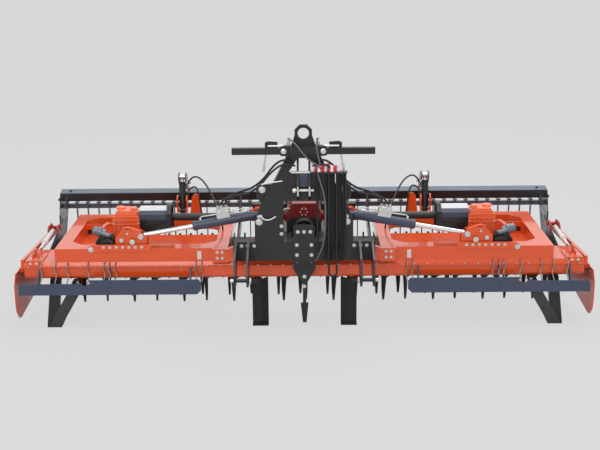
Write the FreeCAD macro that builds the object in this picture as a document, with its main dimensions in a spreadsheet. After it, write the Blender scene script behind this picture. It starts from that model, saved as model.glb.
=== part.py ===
import FreeCAD, Part
import Sketcher
import math
import os
import re

# Folding power harrow, five metres wide, standing on its parking stands and packer rollers.
# Millimetres. X runs across the machine, Y back from the rotor line, Z up from the floor.
# The right wing is modelled and the left wing is its mirror image.

# name, value, what it measures
SIZES = [
    ("rotor_count", 10, "rotors on one wing"),
    ("rotor_pitch", 250, "between neighbouring rotor shafts"),
    ("rotor_hub_radius", 80, "hub below the trough"),
    ("tine_circle", 0.552, "rotor shaft to the middle of a tine, as a share of the pitch"),
    ("tine_thickness", 14, "tine blade, across"),
    ("tine_width", 56, "tine blade at its holder"),
    ("tine_tip_height", 205, "tine tips above the floor"),
    ("holder_plate", 23, "tine holder thickness"),
    ("hub_height", 20, "hub plate thickness"),
    ("bearing_boss", 10, "bearing boss below the trough"),
    ("running_gap", 0.3, "between a turning piece and its seat"),
    ("pin_clearance", 0.05, "around a running pin"),
    ("side_gap", 5, "between a moving piece and the plates beside it"),
    ("trough_inner", 20, "machine centre to the inner end of the trough"),
    ("trough_end", 255, "room past the last rotor in the trough"),
    ("trough_flange", 20, "bolted flange round the top of the trough walls"),
    ("flange_plate", 12, "flange thickness"),
    ("trough_front", 270, "rotor line to the front wall"),
    ("trough_rear", 230, "rotor line to the rear wall"),
    ("trough_bottom", 505, "underside of the trough"),
    ("trough_wall", 630, "top of the trough walls"),
    ("trough_bevel", 25, "bevel along the bottom edges"),
    ("frame_bottom", 670, "underside of the wing frame"),
    ("frame_tube", 135, "wing frame tube height"),
    ("frame_front", 250, "rotor line to the front face of the wing frame"),
    ("frame_back", 1080, "rotor line to the rear face of the wing frame"),
    ("frame_inner", 750, "machine centre to the inner end of the wing frame"),
    ("frame_setback", 305, "outer end of the trough in to the wing frame"),
    ("frame_width", 150, "width of the front and rear tubes"),
    ("frame_end_width", 130, "width of the end tubes"),
    ("frame_corner", 110, "bevel of the inner corners"),
    ("deck_plate", 8, "deck sheet inside the wing frame"),
    ("deck_back", 680, "rotor line to the rear edge of the deck"),
    ("hinge_x", 500, "machine centre to a wing hinge"),
    ("hinge_z", 850, "wing hinge above the floor"),
    ("hinge_boss", 60, "hinge boss radius"),
    ("hinge_pin", 25, "hinge pin radius"),
    ("hinge_head", 40, "hinge pin head radius"),
    ("hinge_head_width", 15, "hinge pin head width"),
    ("hinge_arm", 50, "hinge arm thickness"),
    ("hinge_boss_width", 90, "hinge boss length"),
    ("rear_hinge_y", 985, "front face of the rear cross beam"),
    ("beam_front", 480, "rotor line to the front face of the front cross beam"),
    ("beam_depth", 120, "front cross beam, front to back"),
    ("beam_bottom", 740, "underside of the front cross beam"),
    ("beam_height", 190, "front cross beam height"),
    ("beam_half", 680, "front cross beam half length"),
    ("rail_inner", 120, "machine centre to a centre rail"),
    ("rail_width", 100, "centre rail width"),
    ("rail_height", 120, "centre rail height"),
    ("link_y", 750, "rotor line to the lower link pins"),
    ("link_z", 630, "lower link pins above the floor"),
    ("link_lug", 60, "lower link bracket nose radius"),
    ("link_pin", 18.3, "lower link pin radius"),
    ("link_x", 545, "machine centre to the inner bracket plate"),
    ("link_space", 100, "between the two plates of a lower link bracket"),
    ("link_plate", 20, "lower link bracket plate thickness"),
    ("mast_shoulder", 1330, "height where the mast legs turn in"),
    ("mast_top", 1860, "top of the mast head"),
    ("mast_foot", 470, "machine centre to the outer edge of a mast leg at its foot"),
    ("mast_waist", 400, "machine centre to the outer edge of a mast leg at its shoulder"),
    ("mast_inside", 195, "machine centre to the inner edge of a mast leg"),
    ("mast_arch", 1745, "top of the arch between the mast legs"),
    ("mast_crown", 140, "mast head half width"),
    ("mast_tie", 85, "height of the plate between the mast legs"),
    ("brace_x", 175, "machine centre to a mast brace"),
    ("mast_depth", 90, "mast legs, front to back"),
    ("eye_z", 1975, "lifting eye above the floor"),
    ("eye_hole", 53, "lifting eye hole radius"),
    ("eye_radius", 82, "lifting eye outer radius"),
    ("eye_plate", 30, "lifting eye plate thickness"),
    ("top_link_z", 1440, "top link pin above the floor"),
    ("top_link_y", 500, "rotor line to the top link pin"),
    ("top_link_bore", 16, "top link pin hole radius"),
    ("top_link_half", 45, "machine centre to a top link plate"),
    ("top_link_plate", 20, "top link plate thickness"),
    ("rack_rise", 285, "mast shoulder up to the hose rack"),
    ("rack_inner", 60, "machine centre to the inner end of the hose rack"),
    ("rack_outer", 410, "machine centre to the outer end of the hose rack"),
    ("rack_depth", 90, "hose rack, front to back"),
    ("rack_plate", 12, "hose rack sheet thickness"),
    ("hose_radius", 10, "hose radius"),
    ("long_hose_left", 235, "machine centre to the near side of the long hose loop"),
    ("long_hose_right", 310, "machine centre to the far side of the long hose loop"),
    ("long_hose_low", 640, "where the long hose loop starts to bend, above the floor"),
    ("short_hose_left", 270, "machine centre to the near side of the short hose loop"),
    ("short_hose_right", 350, "machine centre to the far side of the short hose loop"),
    ("short_hose_low", 880, "where the short hose loop starts to bend, above the floor"),
    ("drop_hose_x", 130, "machine centre to the hose that drops to the front beam"),
    ("light_bar_half", 670, "half length of the light bar"),
    ("light_bar_z", 1790, "underside of the light bar"),
    ("light_bar_height", 62, "light bar height"),
    ("light_bar_depth", 50, "light bar, front to back"),
    ("box_half", 170, "centre gearbox half width"),
    ("box_front", 100, "rotor line to the front of the centre gearbox"),
    ("box_back", 220, "rotor line to the rear of the centre gearbox"),
    ("box_height", 350, "centre gearbox height"),
    ("drive_y", 100, "rotor line to the drive shafts"),
    ("drive_z", 1030, "drive shafts above the floor"),
    ("drive_start", 240, "machine centre to the inner joint of a drive shaft"),
    ("drive_end", 1325, "machine centre to the outer end of a drive shaft"),
    ("drive_tube_radius", 46, "outer drive shaft guard radius"),
    ("drive_core_radius", 38, "inner drive shaft guard radius"),
    ("drive_travel", 440, "how far the inner guard slides into the outer one"),
    ("input_z", 985, "input shaft above the floor"),
    ("input_radius", 17.5, "input shaft radius"),
    ("input_guard_radius", 95, "input shaft guard radius"),
    ("wing_box_inner", 1640, "machine centre to the wing gearbox"),
    ("wing_box_width", 270, "wing gearbox width"),
    ("wing_box_depth", 200, "wing gearbox, front to back"),
    ("wing_box_top", 1120, "top of the wing gearbox"),
    ("rib_count", 6, "ribs across a wing gearbox"),
    ("rib_width", 10, "rib thickness"),
    ("rib_height", 14, "rib height above the casting"),
    ("guard_inner", 1350, "machine centre to the mouth of the shaft guard"),
    ("guard_half", 100, "shaft guard half width"),
    ("guard_wall", 6, "shaft guard wall"),
    ("guard_top", 1140, "top of the shaft guard"),
    ("guard_bottom", 900, "lower edge of the shaft guard"),
    ("cylinder_y", 175, "rotor line to the fold cylinders"),
    ("fold_base_x", 430, "machine centre to the fold cylinder base pin"),
    ("fold_base_z", 1125, "fold cylinder base pin above the floor"),
    ("fold_eye_x", 1600, "machine centre to the fold rod eye"),
    ("fold_eye_z", 920, "fold rod eye above the floor"),
    ("barrel_radius", 45, "fold cylinder barrel radius"),
    ("barrel_length", 665, "base pin to the gland of the fold cylinder"),
    ("rod_inside", 195, "length of the fold rod inside its barrel"),
    ("valve_start", 300, "base pin to the valve block on the fold cylinder"),
    ("valve_width", 60, "valve block, front to back"),
    ("valve_height", 65, "valve block above the barrel"),
    ("rod_radius", 22, "fold cylinder rod radius"),
    ("eye_boss", 36, "cylinder eye radius"),
    ("eye_width", 70, "cylinder eye width"),
    ("ear_plate", 15, "cylinder ear thickness"),
    ("ear_pin", 20, "cylinder pin radius"),
    ("board_front", 405, "rotor line to the front boards"),
    ("board_plate", 8, "front board thickness"),
    ("board_inner", 1010, "machine centre to the inner end of a front board"),
    ("board_overhang", 35, "outer end of the trough out to the end of the front board"),
    ("board_bottom", 380, "lower edge of the front boards"),
    ("board_top", 508, "upper edge of the front boards"),
    ("board_step", 35, "how much lower the outer part of a board is"),
    ("board_low_part", 660, "length of the lower outer part of a board"),
    ("hanger_width", 14, "front board hanger thickness"),
    ("deflector_gap", 45, "side carrier to the side deflector"),
    ("deflector_front", 350, "rotor line to the front of the side deflector"),
    ("deflector_back", 850, "rotor line to the rear of the side deflector"),
    ("deflector_top", 560, "upper edge of the side deflector"),
    ("deflector_bottom", 75, "lowest point of the side deflector"),
    ("deflector_plate", 8, "side deflector thickness"),
    ("carrier_gap", 10, "outer end of the trough to the side carrier"),
    ("carrier_width", 30, "side carrier thickness"),
    ("roller_y", 1300, "rotor line to the roller axis"),
    ("roller_radius", 260, "packer roller over its teeth"),
    ("roller_tube", 205, "packer roller tube radius"),
    ("roller_inner", 110, "machine centre to the roller tube"),
    ("roller_setback", 65, "outer end of the trough in to the end of the roller tube"),
    ("tooth_count", 12, "teeth on one roller ring"),
    ("ring_count", 21, "toothed rings on one roller"),
    ("ring_start", 70, "end of the roller tube to its first ring"),
    ("ring_width", 14, "toothed ring thickness"),
    ("axle_radius", 25, "roller axle radius"),
    ("cheek_plate", 15, "roller side plate thickness"),
    ("roller_pivot_y", 360, "rotor line to the roller arm pivots"),
    ("roller_pivot_z", 570, "roller arm pivots above the floor"),
    ("arm_x", 690, "machine centre to the inner roller arm"),
    ("arm_setback", 135, "outer end of the trough in to the outer roller arm"),
    ("arm_plate", 22, "roller arm thickness"),
    ("arm_pin", 20, "roller arm pin radius"),
    ("pack_beam_bottom", 900, "underside of the roller beam"),
    ("pack_beam_height", 92, "roller beam height"),
    ("pack_beam_depth", 120, "roller beam, front to back"),
    ("scraper_tube_y", 1495, "rotor line to the scraper tube"),
    ("scraper_tube_z", 800, "scraper tube above the floor"),
    ("scraper_bar", 50, "square scraper bar, width"),
    ("scraper_plate", 10, "scraper blade thickness"),
    ("scraper_width", 50, "scraper blade width"),
    ("depth_x", 1315, "machine centre to the depth cylinder"),
    ("depth_base_y", 985, "rotor line to the depth cylinder base pin"),
    ("depth_base_z", 870, "depth cylinder base pin above the floor"),
    ("depth_eye_y", 1060, "rotor line to the depth rod eye"),
    ("depth_eye_z", 1225, "depth rod eye above the floor"),
    ("depth_barrel_radius", 38, "depth cylinder barrel radius"),
    ("depth_barrel_length", 290, "base pin to the gland of the depth cylinder"),
    ("depth_rod_radius", 18, "depth cylinder rod radius"),
    ("stand_front", 275, "rotor line to the front of the stands"),
    ("stand_depth", 80, "stand, front to back"),
    ("stand_wall", 10, "stand steel thickness"),
    ("stand_pivot_drop", 40, "trough underside down to a stand pin"),
    ("stand_pin", 10, "stand pin radius"),
    ("inner_stand_x", 535, "machine centre to the inner stand pin"),
    ("stand_setback", 520, "outer end of the trough in to the outer stand pin"),
    ("centre_tine_y", 350, "rotor line to the centre tine"),
    ("centre_tine_tip", 65, "centre tine tip above the floor"),
]

doc = FreeCAD.newDocument("power_harrow")
sheet = doc.addObject("Spreadsheet::Sheet", "Sizes")
for row, (alias, value, meaning) in enumerate(SIZES, start=1):
    sheet.set(f"A{row}", meaning)
    sheet.set(f"B{row}", str(value))
    sheet.setAlias(f"B{row}", alias)
doc.recompute()

NAMES = {alias for alias, value, meaning in SIZES}
FRAME_TOP = "(frame_bottom + frame_tube)"
BEAM_TOP = "(beam_bottom + beam_height)"
RAIL_TOP = "(beam_bottom + rail_height)"
PACK_BEAM_TOP = "(pack_beam_bottom + pack_beam_height)"
# the wing's outer end follows the row of rotors, and all that stands there follows it
TROUGH_OUTER = "(rotor_count * rotor_pitch + trough_end)"
FRAME_OUTER = f"({TROUGH_OUTER} - frame_setback)"
CARRIER_X = f"({TROUGH_OUTER} + carrier_gap)"
DEFLECTOR_X = f"({CARRIER_X} + carrier_width + deflector_gap)"
BOARD_OUTER = f"({TROUGH_OUTER} + board_overhang)"
ROLLER_OUTER = f"({TROUGH_OUTER} - roller_setback)"
RING_PITCH = f"(({ROLLER_OUTER} - roller_inner - 2 * ring_start) / (ring_count - 1))"
ARM_FAR = f"({TROUGH_OUTER} - arm_setback)"
OUTER_STAND = f"({TROUGH_OUTER} - stand_setback)"
TINE_RADIUS = "(tine_circle * rotor_pitch)"
# the model's origin lies midway between the lower link brackets and the back of the rollers
MID_Y = "((roller_y + roller_radius - link_y - link_lug) / 2)"
PLANES = {"XY": "XY_Plane", "XZ": "XZ_Plane", "YZ": "YZ_Plane"}


def sized(text):
    """An expression with each size's name written as a cell of the sheet."""
    return re.sub(r"[a-z][a-z_]*", lambda m: "Sizes." + m[0] if m[0] in NAMES else m[0], str(text))


def size(alias):
    """The number that a cell holds."""
    return float(sheet.get(alias))


def new_body(label, x="0", y="0", z="0"):
    """A body whose own origin stands at x, y, z of the machine."""
    body = doc.addObject("PartDesign::Body", label)
    body.Label = label
    body.AllowCompound = True
    body.setExpression("Placement.Base.x", sized(x))
    body.setExpression("Placement.Base.y", sized(f"{y} - {MID_Y}"))
    body.setExpression("Placement.Base.z", sized(z))
    return body


def new_sketch(body, name, plane, start):
    """A sketch on the body's own plane, moved along that plane's axis to start."""
    sketch = body.newObject("Sketcher::SketchObject", f"{body.Label}_{name}_outline")
    origin = [f for f in body.Origin.OriginFeatures if f.Role == PLANES[plane]][0]
    sketch.AttachmentSupport = [(origin, "")]
    sketch.MapMode = "FlatFace"
    sign = "-" if plane == "XZ" else ""
    sketch.setExpression("AttachmentOffset.Base.z", sized(f"{sign}({start})"))
    return sketch


def draw_polygon(sketch, points):
    """A closed outline, each corner held by two dimensions from the sketch's origin."""
    first = sketch.GeometryCount
    count = len(points)
    turns = [2 * math.pi * i / count for i in range(count)]
    corners = [FreeCAD.Vector(100 * math.cos(t), 100 * math.sin(t), 0) for t in turns]
    lines = [Part.LineSegment(corners[i], corners[(i + 1) % count]) for i in range(count)]
    sketch.addGeometry(lines, False)
    joints = []
    for i in range(count):
        joints.append(Sketcher.Constraint("Coincident", first + i, 2, first + (i + 1) % count, 1))
    sketch.addConstraint(joints)
    for i, (across, up) in enumerate(points):
        for kind, guess, text in (("DistanceX", corners[i].x, across), ("DistanceY", corners[i].y, up)):
            number = sketch.addConstraint(Sketcher.Constraint(kind, -1, 1, first + i, 1, guess))
            sketch.setExpression(f"Constraints[{number}]", sized(text))


def draw_circle(sketch, across, up, radius):
    """A circle held by its centre and radius."""
    index = sketch.addGeometry(Part.Circle(FreeCAD.Vector(50, 50, 0), FreeCAD.Vector(0, 0, 1), 10), False)
    for kind, text in (("DistanceX", across), ("DistanceY", up)):
        number = sketch.addConstraint(Sketcher.Constraint(kind, -1, 1, index, 3, 50))
        sketch.setExpression(f"Constraints[{number}]", sized(text))
    number = sketch.addConstraint(Sketcher.Constraint("Radius", index, 10))
    sketch.setExpression(f"Constraints[{number}]", sized(radius))


def add_pad(body, sketch, length):
    """Material from the sketch along its plane's axis."""
    pad = body.newObject("PartDesign::Pad", sketch.Label.replace("outline", "pad"))
    pad.Profile = sketch
    pad.Reversed = sketch.AttachmentSupport[0][0].Role == "XZ_Plane"
    pad.setExpression("Length", sized(length))
    return pad


def add_cut(body, sketch, length):
    """A cut from the sketch along its plane's axis."""
    cut = body.newObject("PartDesign::Pocket", sketch.Label.replace("outline", "cut"))
    cut.Profile = sketch
    cut.Reversed = sketch.AttachmentSupport[0][0].Role != "XZ_Plane"
    cut.setExpression("Length", sized(length))
    return cut


def prism(body, name, plane, start, length, points, holes=()):
    """A plate or bar: an outline on a plane, from start over length; holes are across, up, radius."""
    sketch = new_sketch(body, name, plane, start)
    draw_polygon(sketch, points)
    for across, up, radius in holes:
        draw_circle(sketch, across, up, radius)
    return add_pad(body, sketch, length)


def bar(body, name, plane, start, length, across, up, radius, bore=None):
    """A round bar or ring square to a plane."""
    sketch = new_sketch(body, name, plane, start)
    draw_circle(sketch, across, up, radius)
    if bore is not None:
        draw_circle(sketch, across, up, bore)
    return add_pad(body, sketch, length)


def draw_loop(sketch, left_size, right_size, low_size):
    """An open line down from the hose rack, half round at the bottom and up again."""
    left, right, low = size(left_size), size(right_size), size(low_size)
    top = size("mast_shoulder") + size("rack_rise")
    top_z = "mast_shoulder + rack_rise"
    radius = (right - left) / 2
    down = Part.LineSegment(FreeCAD.Vector(left, top, 0), FreeCAD.Vector(left, low, 0))
    circle = Part.Circle(FreeCAD.Vector(left + radius, low, 0), FreeCAD.Vector(0, 0, 1), radius)
    bend = Part.ArcOfCircle(circle, math.pi, 2 * math.pi)
    up = Part.LineSegment(FreeCAD.Vector(right, low, 0), FreeCAD.Vector(right, top, 0))
    sketch.addGeometry([down, bend, up], False)
    sketch.addConstraint([Sketcher.Constraint("Coincident", 0, 2, 1, 1),
                          Sketcher.Constraint("Coincident", 1, 2, 2, 1)])
    for line, point, kind, guess, text in (
            (0, 1, "DistanceX", left, left_size), (0, 1, "DistanceY", top, top_z),
            (0, 2, "DistanceX", left, left_size), (0, 2, "DistanceY", low, low_size),
            (2, 1, "DistanceX", right, right_size), (2, 1, "DistanceY", low, low_size),
            (2, 2, "DistanceX", right, right_size), (2, 2, "DistanceY", top, top_z),
            (1, 3, "DistanceY", low, low_size)):
        number = sketch.addConstraint(Sketcher.Constraint(kind, -1, 1, line, point, guess))
        sketch.setExpression(f"Constraints[{number}]", sized(text))


def add_hose(body, name, across, along, route):
    """A round hose that follows a route from its first end."""
    section = new_sketch(body, name, "XY", "mast_shoulder + rack_rise")
    draw_circle(section, across, along, "hose_radius")
    pipe = body.newObject("PartDesign::AdditivePipe", f"{body.Label}_{name}_pipe")
    pipe.Profile = section
    pipe.Spine = (route, [])
    return pipe


def rectangle(low_across, low_up, high_across, high_up):
    """The four corners between two opposite ones."""
    return [(low_across, low_up), (high_across, low_up), (high_across, high_up), (low_across, high_up)]


def regular(across, up, radius, count):
    """The corners of a regular outline, the first one straight above its centre."""
    turns = [360 * number / count for number in range(count)]
    return [(f"{across} + {radius} * sin({turn})", f"{up} + {radius} * cos({turn})") for turn in turns]


def drill(body, name, plane, start, length, across, up, radius):
    """A round hole."""
    sketch = new_sketch(body, name, plane, start)
    draw_circle(sketch, across, up, radius)
    return add_cut(body, sketch, length)


def repeat(body, feature, axis, count, pitch):
    """Copies of one feature along an axis of the body."""
    pattern = body.newObject("PartDesign::LinearPattern", feature.Label + "_row")
    pattern.Originals = [feature]
    direction = [f for f in body.Origin.OriginFeatures if f.Role == axis][0]
    pattern.Direction = (direction, [""])
    pattern.setExpression("Occurrences", sized(count))
    pattern.setExpression("Length", sized(f"({count} - 1) * {pitch}"))
    body.Tip = pattern
    return pattern


def repeat_round(body, feature, axis, count):
    """Copies of one feature around an axis of the body."""
    pattern = body.newObject("PartDesign::PolarPattern", feature.Label + "_ring")
    pattern.Originals = [feature]
    around = [f for f in body.Origin.OriginFeatures if f.Role == axis][0]
    pattern.Axis = (around, [""])
    pattern.Angle = 360
    pattern.setExpression("Occurrences", sized(count))
    body.Tip = pattern
    return pattern


def both_sides(body, name, plane, start, length, points, holes=()):
    """The same plate to the right and to the left of the machine's centre."""
    prism(body, name + "_right", plane, start, length, points, holes)
    mirrored = [(f"-({across})", up) for across, up in points]
    flipped = [(f"-({across})", up, radius) for across, up, radius in holes]
    prism(body, name + "_left", plane, start, length, mirrored, flipped)


nodes = []

# Centre frame: front and rear cross beams joined by two rails, with the wing hinge pins.
# A mast of two bent legs stands on the front beam and carries the top link and lifting eye.
frame = new_body("centre_frame")
nodes.append(frame)
prism(frame, "front_beam", "XZ", "-beam_front", "beam_depth",
      rectangle("-beam_half", "beam_bottom", "beam_half", BEAM_TOP))
both_sides(frame, "rail", "XZ", "beam_depth - beam_front", "rear_hinge_y + beam_front - beam_depth",
           rectangle("rail_inner", "beam_bottom", "rail_inner + rail_width", RAIL_TOP))
prism(frame, "rear_beam", "XZ", "rear_hinge_y", "100",
      rectangle("-hinge_x - hinge_boss", "beam_bottom", "hinge_x + hinge_boss", BEAM_TOP))
for side, across in (("right", "hinge_x"), ("left", "-hinge_x")):
    front = "beam_depth - beam_front"
    rear = "rear_hinge_y - hinge_boss_width - 2 * side_gap"
    bar(frame, f"front_pin_{side}", "XZ", front, "beam_front - beam_depth - frame_front + side_gap",
        across, "hinge_z", "hinge_pin")
    prism(frame, f"front_head_{side}", "XZ", "side_gap - frame_front",
          "hinge_head_width", regular(across, "hinge_z", "hinge_head", 6))
    bar(frame, f"rear_pin_{side}", "XZ", rear, "hinge_boss_width + 2 * side_gap",
        across, "hinge_z", "hinge_pin")
    prism(frame, f"rear_head_{side}", "XZ", f"{rear} - hinge_head_width",
          "hinge_head_width", regular(across, "hinge_z", "hinge_head", 6))
both_sides(frame, "mast_leg", "XZ", "-beam_front", "mast_depth",
           [("mast_inside", BEAM_TOP), ("mast_foot", BEAM_TOP), ("mast_foot", f"{BEAM_TOP} + 200"),
            ("mast_waist", "mast_shoulder"), ("mast_waist - 130", "mast_shoulder + 210"),
            ("mast_crown", "mast_top - 60"), ("mast_crown - 85", "mast_top - 60"),
            ("mast_crown - 85", "mast_arch"), ("mast_inside - 55", "mast_arch - 135"),
            ("mast_inside", "mast_shoulder")])
prism(frame, "mast_head", "XZ", "-beam_front", "mast_depth",
      rectangle("-mast_crown", "mast_arch", "mast_crown", "mast_top"))
prism(frame, "mast_tie", "XZ", "-beam_front", "mast_depth",
      rectangle("-mast_inside - 10", "mast_shoulder", "mast_inside + 10", "mast_shoulder + mast_tie"))
both_sides(frame, "shoulder_lug", "XZ", "-beam_front + 20", "mast_depth - 20",
           [("mast_waist - 30", "mast_shoulder - 20"), ("mast_waist + 50", "mast_shoulder + 20"),
            ("mast_waist + 50", "mast_shoulder + 130"), ("mast_waist + 20", "mast_shoulder + 160"),
            ("mast_waist - 110", "mast_shoulder + 160")])
for side, start in (("right", "brace_x"), ("left", "-brace_x - ear_plate")):
    prism(frame, f"mast_brace_{side}", "YZ", start, "ear_plate",
          [("mast_depth - beam_front", "mast_shoulder"), ("rear_hinge_y", BEAM_TOP),
           ("rear_hinge_y + 85", BEAM_TOP), ("rear_hinge_y + 85", f"{BEAM_TOP} + 20"),
           ("mast_depth - beam_front", "mast_shoulder + mast_tie")])
prism(frame, "lifting_eye", "XZ", "-beam_front + 30", "eye_plate",
      [("-115", "mast_top"), ("115", "mast_top"), ("eye_radius", "eye_z - 20"),
       ("eye_radius", "eye_z + 34"), ("34", "eye_z + eye_radius"), ("-34", "eye_z + eye_radius"),
       ("-eye_radius", "eye_z + 34"), ("-eye_radius", "eye_z - 20")],
      [("0", "eye_z", "eye_hole")])
for side, start in (("right", "top_link_half"), ("left", "-top_link_half - top_link_plate")):
    prism(frame, f"top_link_{side}", "YZ", start, "top_link_plate",
          [("-beam_front", "mast_shoulder + 10"), ("-top_link_y - 50", "top_link_z - 50"),
           ("-top_link_y - 50", "top_link_z + 50"), ("-beam_front + mast_depth", "mast_arch + 15"),
           ("-beam_front + mast_depth", "mast_shoulder + 10")],
          [("-top_link_y", "top_link_z", "top_link_bore")])
link_outline = [("-beam_front", BEAM_TOP), ("-link_y", "link_z + 200"), ("-link_y - link_lug", "link_z + 60"),
                ("-link_y - link_lug", "link_z - 20"), ("-link_y - 20", "link_z - link_lug"),
                ("-link_y + 60", "link_z - link_lug"), ("-beam_front", "beam_bottom - 60")]
for name, start in (("inner_right", "link_x - link_plate"), ("outer_right", "link_x + link_space"),
                    ("inner_left", "-link_x"), ("outer_left", "-link_x - link_space - link_plate")):
    prism(frame, f"link_{name}", "YZ", start, "link_plate", link_outline)
for side, start in (("right", "link_x"), ("left", "-link_x - link_space")):
    bar(frame, f"link_pin_{side}", "YZ", start, "link_space", "-link_y", "link_z", "link_pin")
ear_outline = [("fold_base_x - 60", BEAM_TOP), ("fold_base_x", BEAM_TOP),
               ("fold_base_x + 45", "fold_base_z - 20"), ("fold_base_x + 20", "fold_base_z + 45"),
               ("fold_base_x - 20", "fold_base_z + 45"), ("fold_base_x - 60", "fold_base_z + 20")]
for name, start in (("front", "-cylinder_y - eye_width / 2 - side_gap - ear_plate"),
                    ("rear", "-cylinder_y + eye_width / 2 + side_gap")):
    both_sides(frame, f"fold_ear_{name}", "XZ", start, "ear_plate", ear_outline)
both_sides(frame, "ear_shelf", "XZ", "beam_depth - beam_front",
           "beam_front - beam_depth - cylinder_y + eye_width / 2 + side_gap + ear_plate",
           rectangle("rail_inner", "hinge_z + hinge_boss + side_gap", "fold_base_x", BEAM_TOP))
for side, across in (("right", "fold_base_x"), ("left", "-fold_base_x")):
    bar(frame, f"fold_pin_{side}", "XZ", "-cylinder_y - eye_width / 2 - side_gap",
        "eye_width + 2 * side_gap", across, "fold_base_z", "ear_pin")

# Centre gearbox: cast housing on the two rails, with an output boss to each side.
box = new_body("centre_gearbox")
nodes.append(box)
prism(box, "housing", "XZ", "-box_front", "box_front + box_back",
      [("-box_half", RAIL_TOP), ("box_half", RAIL_TOP), ("box_half", "drive_z + 90"),
       ("box_half - 50", "beam_bottom + rail_height + box_height"),
       ("50 - box_half", "beam_bottom + rail_height + box_height"), ("-box_half", "drive_z + 90")])
for side, start in (("right", "box_half"), ("left", "-box_half - 15")):
    bar(box, f"output_{side}", "YZ", start, "15", "drive_y", "drive_z", "60")
for name, start in (("front", "drive_y - 42"), ("rear", "drive_y + 30")):
    both_sides(box, f"yoke_{name}", "XZ", start, "12",
               rectangle("box_half + 15", "drive_z - 30", "drive_start + 30", "drive_z + 30"))
for side, across in (("right", "drive_start"), ("left", "-drive_start")):
    bar(box, f"cross_{side}", "XZ", "drive_y - 30", "60", across, "drive_z", "10")

# Input shaft: splined stub in front of the centre gearbox inside a plastic guard cone.
stub = new_body("input_shaft")
nodes.append(stub)
bar(stub, "stub", "XZ", "-box_front - 130", "130", "0", "input_z", "input_radius")
guard = new_body("input_guard")
nodes.append(guard)
bar(guard, "cone", "XZ", "-box_front - 150", "150", "0", "input_z",
    "input_guard_radius", "input_guard_radius - guard_wall")

# Light bar: square tube across the mast with a lamp bracket near each end.
lights = new_body("light_bar")
nodes.append(lights)
prism(lights, "tube", "XZ", "-beam_front - light_bar_depth", "light_bar_depth",
      rectangle("-light_bar_half", "light_bar_z", "light_bar_half", "light_bar_z + light_bar_height"))

# Hose rack: sheet shelf on the mast where the hydraulic couplings are parked, with a stay.
rack_bottom = "(mast_shoulder + rack_rise)"
rack = new_body("hose_rack")
nodes.append(rack)
prism(rack, "shelf", "XZ", "-beam_front - rack_depth", "rack_depth",
      rectangle("rack_inner", rack_bottom, "rack_outer", f"{rack_bottom} + rack_plate"))
prism(rack, "stay", "XZ", "-beam_front - rack_plate", "rack_plate",
      [("rack_outer - 110", "mast_shoulder + 60"), ("rack_outer - 80", "mast_shoulder + 60"),
       ("rack_outer", rack_bottom), ("rack_outer - 40", rack_bottom)])

# Hoses parked in the rack: two hang in a loop before the mast, one drops to the front beam.
hoses = new_body("hoses")
nodes.append(hoses)
for name, forward in (("long", "-beam_front - 64"), ("short", "-beam_front - 24")):
    route = new_sketch(hoses, f"{name}_route", "XZ", forward)
    draw_loop(route, f"{name}_hose_left", f"{name}_hose_right", f"{name}_hose_low")
    add_hose(hoses, name, f"{name}_hose_left", forward, route)
bar(hoses, "drop", "XY", "beam_bottom + 60", f"{rack_bottom} - beam_bottom - 60",
    "drop_hose_x", "-beam_front - 30", "hose_radius")
bar(hoses, "drop_end", "XZ", "-beam_front - 30", "30",
    "drop_hose_x", "beam_bottom + 60 + hose_radius", "hose_radius")

# Centre tine: loosens the strip between the two troughs.
tine = new_body("centre_tine")
nodes.append(tine)
prism(tine, "plate", "XZ", "-centre_tine_y - 12", "24",
      [("-20", "centre_tine_tip + 400"), ("20", "centre_tine_tip + 400"), ("110", "beam_bottom - 120"),
       ("110", "beam_bottom"), ("-110", "beam_bottom"), ("-110", "beam_bottom - 120")])
prism(tine, "shank", "XZ", "-centre_tine_y - 12", "24",
      rectangle("-16", "centre_tine_tip + 200", "16", "centre_tine_tip + 400"))
prism(tine, "point", "XZ", "-centre_tine_y - 12", "24",
      [("-18", "centre_tine_tip"), ("18", "centre_tine_tip"), ("38", "centre_tine_tip + 200"),
       ("-38", "centre_tine_tip + 200")])
prism(tine, "foot", "XY", "beam_bottom - 20", "20",
      rectangle("-110", "-beam_front", "110", "-centre_tine_y + 12"))

# Trough: closed gear casing that carries the rotors, with a bearing boss over each.
# Lugs on its rear wall carry the roller arms, lugs below its front edge the stands.
trough = new_body("trough_right")
nodes.append(trough)
prism(trough, "casing", "YZ", "trough_inner", f"{TROUGH_OUTER} - trough_inner",
      [("-trough_front", "trough_bottom + trough_bevel"), ("trough_bevel - trough_front", "trough_bottom"),
       ("trough_rear - trough_bevel", "trough_bottom"), ("trough_rear", "trough_bottom + trough_bevel"),
       ("trough_rear", "trough_wall"), ("trough_rear - 40", "frame_bottom"),
       ("20 - trough_front", "frame_bottom"), ("-trough_front", "trough_wall")])
prism(trough, "flange", "XY", "trough_wall - flange_plate / 2", "flange_plate",
      rectangle("trough_inner", "-trough_front - trough_flange", TROUGH_OUTER, "trough_rear + trough_flange"))
boss = prism(trough, "boss", "XY", "trough_bottom - bearing_boss", "bearing_boss",
             regular("rotor_pitch / 2", "0", "rotor_hub_radius", 12))
repeat(trough, boss, "X_Axis", "rotor_count", "rotor_pitch")
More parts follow.
